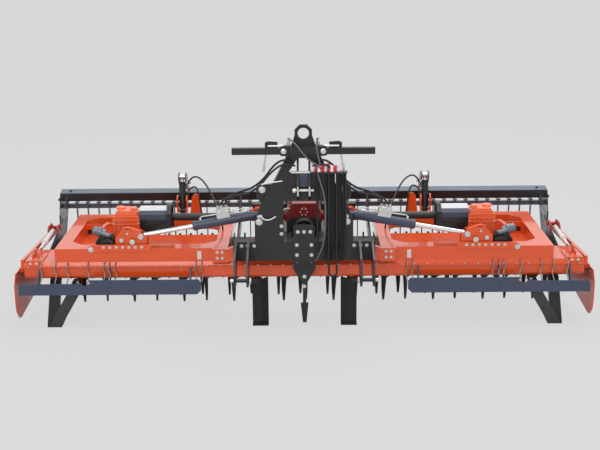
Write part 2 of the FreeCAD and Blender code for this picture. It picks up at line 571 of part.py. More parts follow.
for name, start, pin in (("inner", "arm_x + arm_plate + side_gap", "arm_x - side_gap"),
                         ("outer", f"{ARM_FAR} + arm_plate + side_gap", f"{ARM_FAR} - side_gap")):
    prism(trough, f"arm_lug_{name}", "YZ", start, "arm_plate",
          [("trough_rear", "roller_pivot_z - 45"), ("roller_pivot_y + 30", "roller_pivot_z - 40"),
           ("roller_pivot_y + 45", "roller_pivot_z"), ("roller_pivot_y + 30", "roller_pivot_z + 40"),
           ("trough_rear", "roller_pivot_z + 50")])
    bar(trough, f"arm_pin_{name}", "YZ", pin, "arm_plate + 2 * side_gap",
        "roller_pivot_y", "roller_pivot_z", "arm_pin")
for name, across in (("inner", "inner_stand_x"), ("outer", OUTER_STAND)):
    stand_z = "trough_bottom - stand_pivot_drop"
    prism(trough, f"stand_lug_{name}", "XZ", "-stand_front + stand_depth + side_gap", "stand_wall",
          rectangle(f"{across} - 25", f"{stand_z} - 25", f"{across} + 25", "trough_bottom"))
    bar(trough, f"stand_pin_{name}", "XZ", "-stand_front", "stand_depth + side_gap",
        across, stand_z, "stand_pin")

# Wing frame: ring of square tube on the trough with a deck sheet inside it.
# Hinge arms reach in to the centre frame, ears on the front tube take the fold cylinder.
ring = new_body("wing_frame_right")
nodes.append(ring)
ring_sketch = new_sketch(ring, "ring", "XY", "frame_bottom")
draw_polygon(ring_sketch, rectangle("frame_inner", "-frame_front", FRAME_OUTER, "frame_back"))
hole_low_x = "frame_inner + frame_end_width"
hole_high_x = f"{FRAME_OUTER} - frame_end_width"
hole_low_y = "frame_width - frame_front"
hole_high_y = "frame_back - frame_width"
draw_polygon(ring_sketch, [
    (f"{hole_low_x} + frame_corner", hole_low_y), (f"{hole_high_x} - frame_corner", hole_low_y),
    (hole_high_x, f"{hole_low_y} + frame_corner"), (hole_high_x, f"{hole_high_y} - frame_corner"),
    (f"{hole_high_x} - frame_corner", hole_high_y), (f"{hole_low_x} + frame_corner", hole_high_y),
    (hole_low_x, f"{hole_high_y} - frame_corner"), (hole_low_x, f"{hole_low_y} + frame_corner")])
add_pad(ring, ring_sketch, "frame_tube")
prism(ring, "deck", "XY", "frame_bottom", "deck_plate",
      rectangle(f"{hole_low_x} - 10", f"{hole_low_y} - 10", f"{hole_high_x} + 10", "deck_back"))
for name, arm_start, arm_drop, boss_start, bore_length in (
        ("front", "-frame_front - hinge_arm", "frame_tube", "beam_depth - beam_front + side_gap",
         "beam_front - beam_depth - frame_front - side_gap"),
        ("rear", "rear_hinge_y - side_gap - hinge_boss_width + 20", "40",
         "rear_hinge_y - side_gap - hinge_boss_width", "hinge_boss_width")):
    prism(ring, f"arm_{name}", "XZ", arm_start, "hinge_arm",
          [("hinge_x", "hinge_z + hinge_boss"), ("frame_inner", FRAME_TOP), ("frame_inner + 150", FRAME_TOP),
           ("frame_inner + 150", f"{FRAME_TOP} - {arm_drop}"), ("frame_inner", f"{FRAME_TOP} - {arm_drop}"),
           ("hinge_x", "hinge_z - hinge_boss")])
    bar(ring, f"boss_{name}", "XZ", boss_start, "hinge_boss_width", "hinge_x", "hinge_z", "hinge_boss")
    drill(ring, f"bore_{name}", "XZ", boss_start, bore_length,
          "hinge_x", "hinge_z", "hinge_pin + pin_clearance")
for name, start, stub_start in (
        ("front", "-cylinder_y - eye_width / 2 - side_gap - ear_plate",
         "-cylinder_y - eye_width / 2 - side_gap - ear_plate - 12"),
        ("rear", "-cylinder_y + eye_width / 2 + side_gap",
         "-cylinder_y + eye_width / 2 + side_gap + ear_plate")):
    prism(ring, f"fold_ear_{name}", "XZ", start, "ear_plate",
          [("fold_eye_x - 60", FRAME_TOP), ("fold_eye_x + 250", FRAME_TOP),
           ("fold_eye_x + 250", "fold_eye_z - 10"), ("fold_eye_x + 180", "fold_eye_z + 70"),
           ("fold_eye_x + 40", "fold_eye_z + 70"), ("fold_eye_x - 60", "fold_eye_z")])
    bar(ring, f"fold_stub_{name}", "XZ", stub_start, "12", "fold_eye_x", "fold_eye_z", "ear_pin + 8")

# Depth cylinder base: two round-topped posts on the rear tube.
post_gap = "(depth_barrel_radius + side_gap)"
for name, start in (("inner", f"depth_x - {post_gap} - ear_plate"), ("outer", f"depth_x + {post_gap}")):
    prism(ring, f"depth_ear_{name}", "YZ", start, "ear_plate",
          [("depth_base_y - 60", FRAME_TOP), ("depth_base_y + 60", FRAME_TOP),
           ("depth_base_y + 60", "depth_base_z + 130"), ("depth_base_y + 35", "depth_base_z + 160"),
           ("depth_base_y - 35", "depth_base_z + 160"), ("depth_base_y - 60", "depth_base_z + 130")])
bar(ring, "depth_pin", "YZ", f"depth_x - {post_gap}", f"2 * {post_gap}",
    "depth_base_y", "depth_base_z", "ear_pin")

# Wing gearbox: ribbed casting that stands on the deck.
wing_box = new_body("wing_gearbox_right")
nodes.append(wing_box)
prism(wing_box, "casting", "XZ", "drive_y - wing_box_depth / 2", "wing_box_depth",
      [("wing_box_inner", "frame_bottom + deck_plate"),
       ("wing_box_inner + wing_box_width", "frame_bottom + deck_plate"),
       ("wing_box_inner + wing_box_width", "wing_box_top - 70"),
       ("wing_box_inner + wing_box_width - 60", "wing_box_top"),
       ("wing_box_inner + 60", "wing_box_top"), ("wing_box_inner", "wing_box_top - 70")])
rib = prism(wing_box, "rib", "YZ", "wing_box_inner + 20", "rib_width",
            rectangle("drive_y - wing_box_depth / 2 - rib_height", "frame_bottom + deck_plate",
                      "drive_y + wing_box_depth / 2 + rib_height", "wing_box_top - 80"))
repeat(wing_box, rib, "X_Axis", "rib_count", "((wing_box_width - 40 - rib_width) / (rib_count - 1))")

# Shaft guard: folded sheet hood over the outer joint of the drive shaft.
hood = new_body("shaft_guard_right")
nodes.append(hood)
hood_sketch = new_sketch(hood, "hood", "YZ", "guard_inner")
draw_polygon(hood_sketch, [
    ("drive_y - guard_half", "guard_bottom"), ("drive_y - guard_half", "guard_top - 60"),
    ("drive_y - guard_half + 60", "guard_top"), ("drive_y + guard_half - 60", "guard_top"),
    ("drive_y + guard_half", "guard_top - 60"), ("drive_y + guard_half", "guard_bottom"),
    ("drive_y + guard_half - guard_wall", "guard_bottom"),
    ("drive_y + guard_half - guard_wall", "guard_top - 63"),
    ("drive_y + guard_half - 63", "guard_top - guard_wall"),
    ("drive_y - guard_half + 63", "guard_top - guard_wall"),
    ("drive_y - guard_half + guard_wall", "guard_top - 63"),
    ("drive_y - guard_half + guard_wall", "guard_bottom")])
add_pad(hood, hood_sketch, "wing_box_inner - guard_inner")

# Front board: levels the soil ahead of the rotors, hung from the trough by flat bars.
board = new_body("front_board_right")
nodes.append(board)
prism(board, "board", "XZ", "-board_front", "board_plate",
      [("board_inner", "board_bottom + 40"), ("board_inner + 40", "board_bottom"),
       (BOARD_OUTER, "board_bottom"), (BOARD_OUTER, "board_top - board_step"),
       (f"{BOARD_OUTER} - board_low_part", "board_top - board_step"),
       (f"{BOARD_OUTER} - board_low_part - 50", "board_top"), ("board_inner", "board_top")])
for name, start in (("inner", "board_inner + 100"), ("middle", "board_inner + 890"),
                    ("outer", f"{BOARD_OUTER} - 190")):
    prism(board, f"hanger_{name}", "YZ", start, "hanger_width",
          [("board_plate - board_front", "board_bottom + 30"), ("-trough_front", "trough_bottom + 30"),
           ("-trough_front", "trough_wall - flange_plate"), ("board_plate - board_front", "board_top - board_step - 5")])

# Side deflector: plate that keeps the soil in, carried by an arm along the wing's end.
deflector = new_body("side_deflector_right")
nodes.append(deflector)
prism(deflector, "plate", "YZ", DEFLECTOR_X, "deflector_plate",
      [("-deflector_front", "450"), ("70 - deflector_front", "deflector_top"),
       ("deflector_back", "deflector_top"), ("deflector_back", "420"), ("deflector_back - 150", "160"),
       ("-100", "deflector_bottom + 10"), ("-170", "deflector_bottom"), ("-250", "deflector_bottom + 20"),
       ("20 - deflector_front", "180"), ("-deflector_front", "260")])
prism(deflector, "arm", "YZ", CARRIER_X, "carrier_width",
      [("-230", "600"), ("1260", "540"), ("1260", "620"), ("-230", "690")])
for name, low in (("front", "-150"), ("rear", "500")):
    prism(deflector, f"tie_{name}", "XZ", low, "60",
          rectangle(f"{CARRIER_X} + carrier_width", "540", DEFLECTOR_X, "580"))
prism(deflector, "seat", "YZ", TROUGH_OUTER, "carrier_gap",
      rectangle("-150", "frame_bottom - 50", "150", "frame_bottom - 10"))

# Roller frame: beam behind the wing frame, side plates down to the roller and two arms forward.
# The scraper tube hangs behind the beam with a blade between each pair of toothed rings.
carrier = new_body("roller_frame_right")
nodes.append(carrier)
beam_start = "roller_inner - cheek_plate - side_gap"
beam_length = f"{ROLLER_OUTER} - roller_inner + 2 * (cheek_plate + side_gap)"
prism(carrier, "beam", "YZ", beam_start, beam_length,
      [("roller_y", "pack_beam_bottom"), ("roller_y + pack_beam_depth", "pack_beam_bottom"),
       ("roller_y + pack_beam_depth", f"{PACK_BEAM_TOP} + 20"), ("roller_y", PACK_BEAM_TOP)])
cheek_outline = [("roller_y - 60", "roller_radius - 60"), ("roller_y + 60", "roller_radius - 60"),
                 ("scraper_tube_y + 50", "scraper_tube_z - 60"), ("scraper_tube_y + 50", "scraper_tube_z + 50"),
                 ("roller_y + pack_beam_depth", PACK_BEAM_TOP), ("roller_y", PACK_BEAM_TOP),
                 ("roller_y - 110", "pack_beam_bottom - 150")]
for name, start in (("inner", beam_start), ("outer", f"{ROLLER_OUTER} + side_gap")):
    prism(carrier, f"cheek_{name}", "YZ", start, "cheek_plate", cheek_outline,
          [("roller_y", "roller_radius", "axle_radius + pin_clearance")])
for name, start in (("inner", "arm_x"), ("outer", ARM_FAR)):
    prism(carrier, f"arm_{name}", "YZ", start, "arm_plate",
          [("roller_pivot_y - 40", "roller_pivot_z - 40"), ("roller_pivot_y + 60", "roller_pivot_z - 40"),
           ("roller_y - 150", "roller_pivot_z + 60"), ("roller_y", "pack_beam_bottom - 40"),
           ("roller_y + 60", "pack_beam_bottom"), ("roller_y", "pack_beam_bottom + 60"),
           ("roller_y - 110", "pack_beam_bottom - 100"), ("roller_pivot_y - 40", "roller_pivot_z + 40")],
          [("roller_pivot_y", "roller_pivot_z", "arm_pin + pin_clearance")])
prism(carrier, "scraper_bar", "YZ", beam_start, beam_length,
      rectangle("scraper_tube_y - scraper_bar / 2", "scraper_tube_z - scraper_bar / 2",
                "scraper_tube_y + scraper_bar / 2", "scraper_tube_z + scraper_bar / 2"))
blade = prism(carrier, "scraper", "YZ", f"roller_inner + ring_start + ({RING_PITCH} - scraper_plate) / 2",
              "scraper_plate",
              [("roller_y + 155", "roller_radius + 155"), ("roller_y + 155 + scraper_width", "roller_radius + 190"),
               ("scraper_tube_y - scraper_bar / 2", "scraper_tube_z + 40"),
               ("scraper_tube_y - scraper_bar / 2 - 45", "scraper_tube_z + 40")])
repeat(carrier, blade, "X_Axis", "ring_count - 1", RING_PITCH)
for name, start in (("inner", "depth_x - 25 - side_gap - ear_plate"), ("outer", "depth_x + 25 + side_gap")):
    prism(carrier, f"depth_post_{name}", "YZ", start, "ear_plate",
          [("roller_y", "pack_beam_bottom + 10"), ("roller_y + 90", PACK_BEAM_TOP),
           ("depth_eye_y + 60", "depth_eye_z + 35"), ("depth_eye_y - 20", "depth_eye_z + 40"),
           ("depth_eye_y - 45", "depth_eye_z"), ("depth_eye_y - 20", "depth_eye_z - 45")])
bar(carrier, "depth_eye_pin", "YZ", "depth_x - 25 - side_gap", "50 + 2 * side_gap",
    "depth_eye_y", "depth_eye_z", "ear_pin")

# Packer roller: closed tube with toothed rings welded around it, turning on two stub axles.
roller = new_body("roller_right", "roller_inner", "roller_y", "roller_radius")
nodes.append(roller)
drum = []
toothed = []
for number in range(2 * int(size("tooth_count"))):
    corner = 360 * (number - 0.5) / (2 * size("tooth_count")) - 90
    tip = corner + 180 / (2 * size("tooth_count"))
    drum.append((f"roller_tube * cos({corner})", f"roller_tube * sin({corner})"))
    toothed.append(drum[-1])
    if number % 2 == 0:
        toothed.append((f"roller_radius * cos({tip})", f"roller_radius * sin({tip})"))
prism(roller, "tube", "YZ", "0", f"{ROLLER_OUTER} - roller_inner", drum)
ring_of_teeth = prism(roller, "teeth", "YZ", "ring_start - ring_width / 2", "ring_width", toothed)
repeat(roller, ring_of_teeth, "X_Axis", "ring_count", RING_PITCH)
bar(roller, "inner_axle", "YZ", "-side_gap - cheek_plate", "side_gap + cheek_plate", "0", "0", "axle_radius")
bar(roller, "outer_axle", "YZ", f"{ROLLER_OUTER} - roller_inner", "side_gap + cheek_plate", "0", "0", "axle_radius")

# Fold cylinder: barrel pinned to the centre frame, rod reaching out to the wing's ears.
slope = "atan2(fold_base_z - fold_eye_z; fold_eye_x - fold_base_x)"
reach = "sqrt((fold_eye_x - fold_base_x)^2 + (fold_base_z - fold_eye_z)^2)"
barrel = new_body("fold_barrel_right", "fold_base_x", "-cylinder_y", "fold_base_z")
nodes.append(barrel)
bar(barrel, "eye", "XZ", "-eye_width / 2", "eye_width", "0", "0", "eye_boss")
bar(barrel, "neck", "YZ", "eye_boss - 12", "35", "0", "0", "eye_width / 2 - side_gap")
bar(barrel, "tube", "YZ", "eye_boss + 20", "barrel_length - eye_boss - 20", "0", "0", "barrel_radius")
drill(barrel, "bore", "XZ", "-eye_width / 2", "eye_width", "0", "0", "ear_pin + pin_clearance")
drill(barrel, "inside", "YZ", "80", "barrel_length", "0", "0", "rod_radius + running_gap")
prism(barrel, "valve", "XZ", "-valve_width / 2", "valve_width",
      rectangle("valve_start", "barrel_radius - 12", "valve_start + 100", "barrel_radius + valve_height"))
rod = new_body("fold_rod_right", "fold_base_x", "-cylinder_y", "fold_base_z")
nodes.append(rod)
bar(rod, "rod", "YZ", "barrel_length - rod_inside",
    f"{reach} - barrel_length + rod_inside - eye_boss + 6", "0", "0", "rod_radius")
bar(rod, "eye", "XZ", "-eye_width / 2", "eye_width", reach, "0", "eye_boss")
for moved in (barrel, rod):
    moved.Placement = FreeCAD.Placement(FreeCAD.Vector(), FreeCAD.Rotation(FreeCAD.Vector(0, 1, 0), 5))
    moved.setExpression("Placement.Rotation.Angle", sized(slope))

# Depth cylinder: stands between the posts and holds the roller frame at its height.
depth_barrel = new_body("depth_barrel_right", "depth_x", "depth_base_y", "depth_base_z")
nodes.append(depth_barrel)
depth_reach = "sqrt((depth_eye_y - depth_base_y)^2 + (depth_eye_z - depth_base_z)^2)"
bar(depth_barrel, "eye", "YZ", "8 - depth_barrel_radius", "2 * depth_barrel_radius - 16", "0", "0", "eye_boss - 4")
bar(depth_barrel, "tube", "XY", "eye_boss - 12", "depth_barrel_length - eye_boss + 12", "0", "0",
    "depth_barrel_radius")
drill(depth_barrel, "bore", "YZ", "8 - depth_barrel_radius", "2 * depth_barrel_radius - 16",
      "0", "0", "ear_pin + pin_clearance")
drill(depth_barrel, "inside", "XY", "60", "depth_barrel_length", "0", "0", "depth_rod_radius + running_gap")
depth_rod = new_body("depth_rod_right", "depth_x", "depth_base_y", "depth_base_z")
nodes.append(depth_rod)
bar(depth_rod, "rod", "XY", "65", f"{depth_reach} - 65 - 26", "0", "0", "depth_rod_radius")
bar(depth_rod, "eye", "YZ", "-25", "50", "0", depth_reach, "32", "ear_pin + pin_clearance")
for moved in (depth_barrel, depth_rod):
    moved.Placement = FreeCAD.Placement(FreeCAD.Vector(), FreeCAD.Rotation(FreeCAD.Vector(-1, 0, 0), 5))
    moved.setExpression("Placement.Rotation.Angle",
                        sized("atan2(depth_eye_y - depth_base_y; depth_eye_z - depth_base_z)"))

# Parking stands: an angle iron inside and a braced leg outside, each swinging up on its pin.
stand_pivot = "(trough_bottom - stand_pivot_drop)"
leg = new_body("inner_stand_right")
nodes.append(leg)
stand_corner = "(inner_stand_x - 95)"
stand_nose = "(-stand_front)"
prism(leg, "angle", "XY", "0", f"{stand_pivot} + 20",
      [(stand_corner, stand_nose), (f"{stand_corner} + stand_depth", f"{stand_nose} + stand_depth"),
       (f"{stand_corner} + stand_depth - 14", f"{stand_nose} + stand_depth"),
       (stand_corner, f"{stand_nose} + 14"),
       (f"{stand_corner} - stand_depth + 14", f"{stand_nose} + stand_depth"),
       (f"{stand_corner} - stand_depth", f"{stand_nose} + stand_depth")])
prism(leg, "head", "XZ", "20 - stand_front", "stand_depth - 20",
      rectangle(f"{stand_corner} - 20", f"{stand_pivot} - 20", "inner_stand_x + 22", f"{stand_pivot} + 20"),
      [("inner_stand_x", stand_pivot, "stand_pin + pin_clearance")])
prism(leg, "foot", "XY", "0", "10",
      rectangle(f"{stand_corner} - stand_depth", stand_nose, f"{stand_corner} + stand_depth",
                f"{stand_nose} + stand_depth"))
brace = new_body("outer_stand_right")
nodes.append(brace)
prism(brace, "brace", "XZ", "-stand_front", "stand_depth",
      [(f"{OUTER_STAND} + 190", "0"), (f"{OUTER_STAND} + 330", "0"), (f"{OUTER_STAND} + 330", "20"),
       (f"{OUTER_STAND} + 270", "trough_bottom - running_gap"),
       (f"{OUTER_STAND} + 170", "trough_bottom - running_gap"),
       (f"{OUTER_STAND} + 210", "160"), (f"{OUTER_STAND} + 50", f"{stand_pivot} + 20"),
       (f"{OUTER_STAND} - 22", f"{stand_pivot} + 20"), (f"{OUTER_STAND} - 22", f"{stand_pivot} - 20")],
      [(OUTER_STAND, stand_pivot, "stand_pin + pin_clearance")])

# Drive shaft: telescoping guards from the centre gearbox to the wing gearbox.
shaft_tube = new_body("drive_tube_right", "drive_start", "drive_y", "drive_z")
nodes.append(shaft_tube)
drive_length = "(drive_end - drive_start)"
bar(shaft_tube, "eye", "XZ", "-25", "50", "0", "0", "28")
bar(shaft_tube, "neck", "YZ", "15", "45", "0", "0", "20")
drill(shaft_tube, "bore", "XZ", "-25", "50", "0", "0", "10 + pin_clearance")
bar(shaft_tube, "tube", "YZ", "60", f"{drive_length} / 2 + 30", "0", "0", "drive_tube_radius")
drill(shaft_tube, "inside", "YZ", "75", f"{drive_length} / 2 + 15", "0", "0", "drive_core_radius + running_gap")
shaft_core = new_body("drive_core_right", "drive_start", "drive_y", "drive_z")
nodes.append(shaft_core)
bar(shaft_core, "core", "YZ", "75 + drive_travel + side_gap", f"{drive_length} - 75 - drive_travel - side_gap",
    "0", "0", "drive_core_radius")

# Left wing: the mirror image of the right one.
for source in [node for node in nodes if node.Label.endswith("_right")]:
    label = source.Label.replace("_right", "_left")
    twin = doc.addObject("Part::Mirroring", label)
    twin.Label = label
    twin.Source = source
    twin.Base = FreeCAD.Vector(0, 0, 0)
    twin.Normal = FreeCAD.Vector(1, 0, 0)
    nodes.append(twin)

# Rotors: a hub under each bearing boss, a holder plate and two knife tines.
# Neighbours turn against each other a quarter turn apart, so that their tines pass between.
hub_top = "(trough_bottom - bearing_boss - running_gap)"
for side, direction in (("right", 1), ("left", -1)):
    for number in range(1, int(size("rotor_count")) + 1):
        place_x = f"{direction} * (rotor_pitch * {number} - rotor_pitch / 2)"
        rotor = new_body(f"rotor_{side}_{number:02d}", place_x)
        nodes.append(rotor)
        phase = 35 if (number + (side == "left")) % 2 else 55
        handed = 1 if (number + (side == "left")) % 2 else -1
        prism(rotor, "hub", "XY", f"{hub_top} - hub_height", "hub_height",
              regular("0", "0", "rotor_hub_radius", 12))
        plate_bottom = f"({hub_top} - hub_height - holder_plate)"
        prism(rotor, "holder", "XY", plate_bottom, "holder_plate",
              rectangle(f"-{TINE_RADIUS} - 12", "-tine_width / 2 - 5",
                        f"{TINE_RADIUS} + 12", "tine_width / 2 + 5"))
        knife = prism(rotor, "tine", "YZ", f"{TINE_RADIUS} - tine_thickness / 2", "tine_thickness",
                      [(f"{-handed} * tine_width / 2", plate_bottom),
                       (f"{handed} * tine_width / 2", plate_bottom),
                       (f"{handed} * (tine_width / 2 - 4)", "tine_tip_height + 120"),
                       (f"{handed} * (tine_width / 2 - 14)", "tine_tip_height + 12"),
                       (f"{handed} * (tine_width / 2 - 22)", "tine_tip_height"),
                       (f"{handed} * (tine_width / 2 - 32)", "tine_tip_height + 8"),
                       (f"{-handed} * (tine_width / 2 - 14)", "tine_tip_height + 120")])
        repeat_round(rotor, knife, "Z_Axis", "2")
        rotor.Placement.Rotation = FreeCAD.Rotation(FreeCAD.Vector(0, 0, 1), phase)

doc.recompute()

for item in doc.Objects:
    if "Invalid" in item.State or "Error" in item.State:
        raise RuntimeError(f"{item.Label} failed: {item.State}")
    if item.TypeId == "PartDesign::Pocket" and item.Shape.Volume >= item.BaseFeature.Shape.Volume:
        raise RuntimeError(f"{item.Label} cuts nothing")
for node in nodes:
    if node.Shape.isNull() or not node.Shape.isValid():
        raise RuntimeError(f"{node.Label} has no valid shape")

os.makedirs("parts", exist_ok=True)
for node in nodes:
    node.Shape.exportStep(f"parts/{node.Label}.step")
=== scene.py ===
import bmesh
import bpy
import math
from mathutils import Matrix, Vector


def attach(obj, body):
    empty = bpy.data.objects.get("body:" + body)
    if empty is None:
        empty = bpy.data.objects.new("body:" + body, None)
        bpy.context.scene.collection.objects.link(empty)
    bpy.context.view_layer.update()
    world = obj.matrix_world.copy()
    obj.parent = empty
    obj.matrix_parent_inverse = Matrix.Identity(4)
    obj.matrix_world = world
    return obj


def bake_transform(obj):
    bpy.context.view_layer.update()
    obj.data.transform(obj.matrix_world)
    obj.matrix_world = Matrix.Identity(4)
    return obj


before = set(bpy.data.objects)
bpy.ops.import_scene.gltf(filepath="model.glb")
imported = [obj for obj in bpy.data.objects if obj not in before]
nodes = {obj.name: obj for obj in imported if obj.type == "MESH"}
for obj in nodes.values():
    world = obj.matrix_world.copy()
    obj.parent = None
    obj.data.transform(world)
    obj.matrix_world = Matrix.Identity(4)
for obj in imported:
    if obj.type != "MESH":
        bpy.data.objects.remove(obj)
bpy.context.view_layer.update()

# Camera. It stands about 11 m in front of the machine at 3.9 m above the floor, tilted down,
# and leans a little, as in the photograph.
CAMERA_TILT = math.radians(15.4)
CAMERA_LEAN = math.radians(0.45)
PHOTO_WIDTH = 600  # pixels
MIDDLE_OFF = 4  # pixels from the machine's middle line to the photograph's
camera_data = bpy.data.cameras.new("camera")
camera_data.sensor_width = 36
camera_data.lens = 66
camera_data.shift_x = -MIDDLE_OFF / PHOTO_WIDTH
camera_data.clip_end = 200
camera = bpy.data.objects.new("camera", camera_data)
camera.location = (0, -10.965, 3.88)
camera.rotation_euler = (Matrix.Rotation(math.pi / 2 - CAMERA_TILT, 3, "X")
                         @ Matrix.Rotation(-CAMERA_LEAN, 3, "Z")).to_euler()
bpy.context.scene.collection.objects.link(camera)
bpy.context.scene.camera = camera
bpy.context.scene.view_settings.view_transform = "Standard"

# Floor. A plain pale grey studio floor that runs back into a backdrop of the same grey.
# The camera sees part of that grey as it is, so that the floor stays even and keeps a soft shadow.
STUDIO_GREY = (0.70, 0.70, 0.705, 1)
SEEN_AS_IT_IS = 0.9
floor_mesh = bpy.data.meshes.new("studio_floor")
floor_mesh.from_pydata([(-60, -40, 0), (60, -40, 0), (60, 60, 0), (-60, 60, 0)], [], [(0, 1, 2, 3)])
floor = bpy.data.objects.new("studio_floor", floor_mesh)
bpy.context.scene.collection.objects.link(floor)
floor_paint = bpy.data.materials.new("studio_floor")
floor_paint.use_nodes = True
tree = floor_paint.node_tree
matt = tree.nodes["Principled BSDF"]
matt.inputs["Base Color"].default_value = (0.62, 0.62, 0.625, 1)
matt.inputs["Roughness"].default_value = 0.9
glow = tree.nodes.new("ShaderNodeEmission")
glow.inputs["Color"].default_value = STUDIO_GREY
seen = tree.nodes.new("ShaderNodeLightPath")
share = tree.nodes.new("ShaderNodeMath")
share.operation = "MULTIPLY"
share.inputs[1].default_value = SEEN_AS_IT_IS
blend = tree.nodes.new("ShaderNodeMixShader")
tree.links.new(seen.outputs["Is Camera Ray"], share.inputs[0])
tree.links.new(share.outputs["Value"], blend.inputs["Fac"])
tree.links.new(matt.outputs["BSDF"], blend.inputs[1])
tree.links.new(glow.outputs["Emission"], blend.inputs[2])
tree.links.new(blend.outputs["Shader"], tree.nodes["Material Output"].inputs["Surface"])
floor_mesh.materials.append(floor_paint)

# Lights. An even white sky, a broad lamp in front of the machine on the left and a broader one
# above it. The camera sees the sky as the grey of the floor.
world = bpy.data.worlds.new("studio_sky")
bpy.context.scene.world = world
world.use_nodes = True
tree = world.node_tree
sky = tree.nodes["Background"]
sky.inputs["Color"].default_value = (0.95, 0.97, 1.0, 1)
sky.inputs["Strength"].default_value = 0.85
backdrop = tree.nodes.new("ShaderNodeBackground")
backdrop.inputs["Color"].default_value = STUDIO_GREY
seen = tree.nodes.new("ShaderNodeLightPath")
blend = tree.nodes.new("ShaderNodeMixShader")
tree.links.new(seen.outputs["Is Camera Ray"], blend.inputs["Fac"])
tree.links.new(sky.outputs["Background"], blend.inputs[1])
tree.links.new(backdrop.outputs["Background"], blend.inputs[2])
tree.links.new(blend.outputs["Shader"], tree.nodes["World Output"].inputs["Surface"])
for name, place, aim, width, power in (("front_lamp", (-2.5, -9, 6.5), (0, -0.4, 0.6), 5, 300),
                                       ("top_lamp", (1.5, 1.5, 8), (0, 0, 0.6), 7, 420)):
    lamp_data = bpy.data.lights.new(name, "AREA")
    lamp_data.size = width
    lamp_data.energy = power
    lamp = bpy.data.objects.new(name, lamp_data)
    lamp.location = place
    lamp.rotation_euler = (Vector(aim) - Vector(place)).to_track_quat("-Z", "Y").to_euler()
    bpy.context.scene.collection.objects.link(lamp)

# Troughs. Folded and welded steel casings, sprayed glossy orange; a bolted flange runs round
# the lid, and a row of hexagon bolts holds it down every eighth of a metre.
ROTOR_LINE = -0.375
ROTOR_PITCH = 0.25
SIDES = (("right", 1), ("left", -1))
FORWARD = (0, -1, 0)
UP = (0, 0, 1)
DOWN = (0, 0, -1)
ALONE = (0, 0, 0)  # the step of a row that has a single bolt
LID_TOP = 0.637
LID_BOLT_STEP = 0.125


def at(across, back, up):
    """A point of the machine, with back measured from the row of rotors as on its drawing."""
    return Vector((across, back + ROTOR_LINE, up))


def rotor_place(way, number):
    """How far across the machine a rotor stands; number counts from 1 at the middle."""
    return way * ROTOR_PITCH * (number - 0.5)


dust = bpy.data.node_groups.new("settled_dust", "ShaderNodeTree")
for name, kind, value in (("Paint", "NodeSocketColor", (0.5, 0.5, 0.5, 1)),
                          ("Dust", "NodeSocketColor", (0.45, 0.43, 0.40, 1)),
                          ("Dust Amount", "NodeSocketFloat", 0.25), ("Blotch Size", "NodeSocketFloat", 3.0),
                          ("Smooth", "NodeSocketFloat", 0.25), ("Rough", "NodeSocketFloat", 0.6)):
    dust.interface.new_socket(name, in_out="INPUT", socket_type=kind).default_value = value
dust.interface.new_socket("Colour", in_out="OUTPUT", socket_type="NodeSocketColor")
dust.interface.new_socket("Roughness", in_out="OUTPUT", socket_type="NodeSocketFloat")
given = dust.nodes.new("NodeGroupInput")
result = dust.nodes.new("NodeGroupOutput")
place = dust.nodes.new("ShaderNodeTexCoord")
blotch = dust.nodes.new("ShaderNodeTexNoise")
blotch.inputs["Detail"].default_value = 6
blotch.inputs["Roughness"].default_value = 0.6
dust.links.new(place.outputs["Object"], blotch.inputs["Vector"])
dust.links.new(given.outputs["Blotch Size"], blotch.inputs["Scale"])
facing = dust.nodes.new("ShaderNodeNewGeometry")
split = dust.nodes.new("ShaderNodeSeparateXYZ")
dust.links.new(facing.outputs["Normal"], split.inputs["Vector"])
upward = dust.nodes.new("ShaderNodeMapRange")
upward.inputs["From Min"].default_value = 0.2
dust.links.new(split.outputs["Z"], upward.inputs["Value"])
patchy = dust.nodes.new("ShaderNodeMapRange")
patchy.inputs["From Min"].default_value = 0.35
patchy.inputs["From Max"].default_value = 0.75
dust.links.new(blotch.outputs["Fac"], patchy.inputs["Value"])
lying = dust.nodes.new("ShaderNodeMath")
lying.operation = "MULTIPLY"
dust.links.new(upward.outputs["Result"], lying.inputs[0])
dust.links.new(patchy.outputs["Result"], lying.inputs[1])
amount = dust.nodes.new("ShaderNodeMath")
amount.operation = "MULTIPLY"
dust.links.new(lying.outputs["Value"], amount.inputs[0])
dust.links.new(given.outputs["Dust Amount"], amount.inputs[1])
dusty = dust.nodes.new("ShaderNodeMix")
dusty.data_type = "RGBA"
dust.links.new(amount.outputs["Value"], dusty.inputs["Factor"])
dust.links.new(given.outputs["Paint"], dusty.inputs["A"])
dust.links.new(given.outputs["Dust"], dusty.inputs["B"])
dust.links.new(dusty.outputs["Result"], result.inputs["Colour"])
sheen = dust.nodes.new("ShaderNodeMapRange")
sheen.inputs["From Min"].default_value = 0.3
sheen.inputs["From Max"].default_value = 0.7
dust.links.new(blotch.outputs["Fac"], sheen.inputs["Value"])
dust.links.new(given.outputs["Smooth"], sheen.inputs["To Min"])
dust.links.new(given.outputs["Rough"], sheen.inputs["To Max"])
dust.links.new(sheen.outputs["Result"], result.inputs["Roughness"])


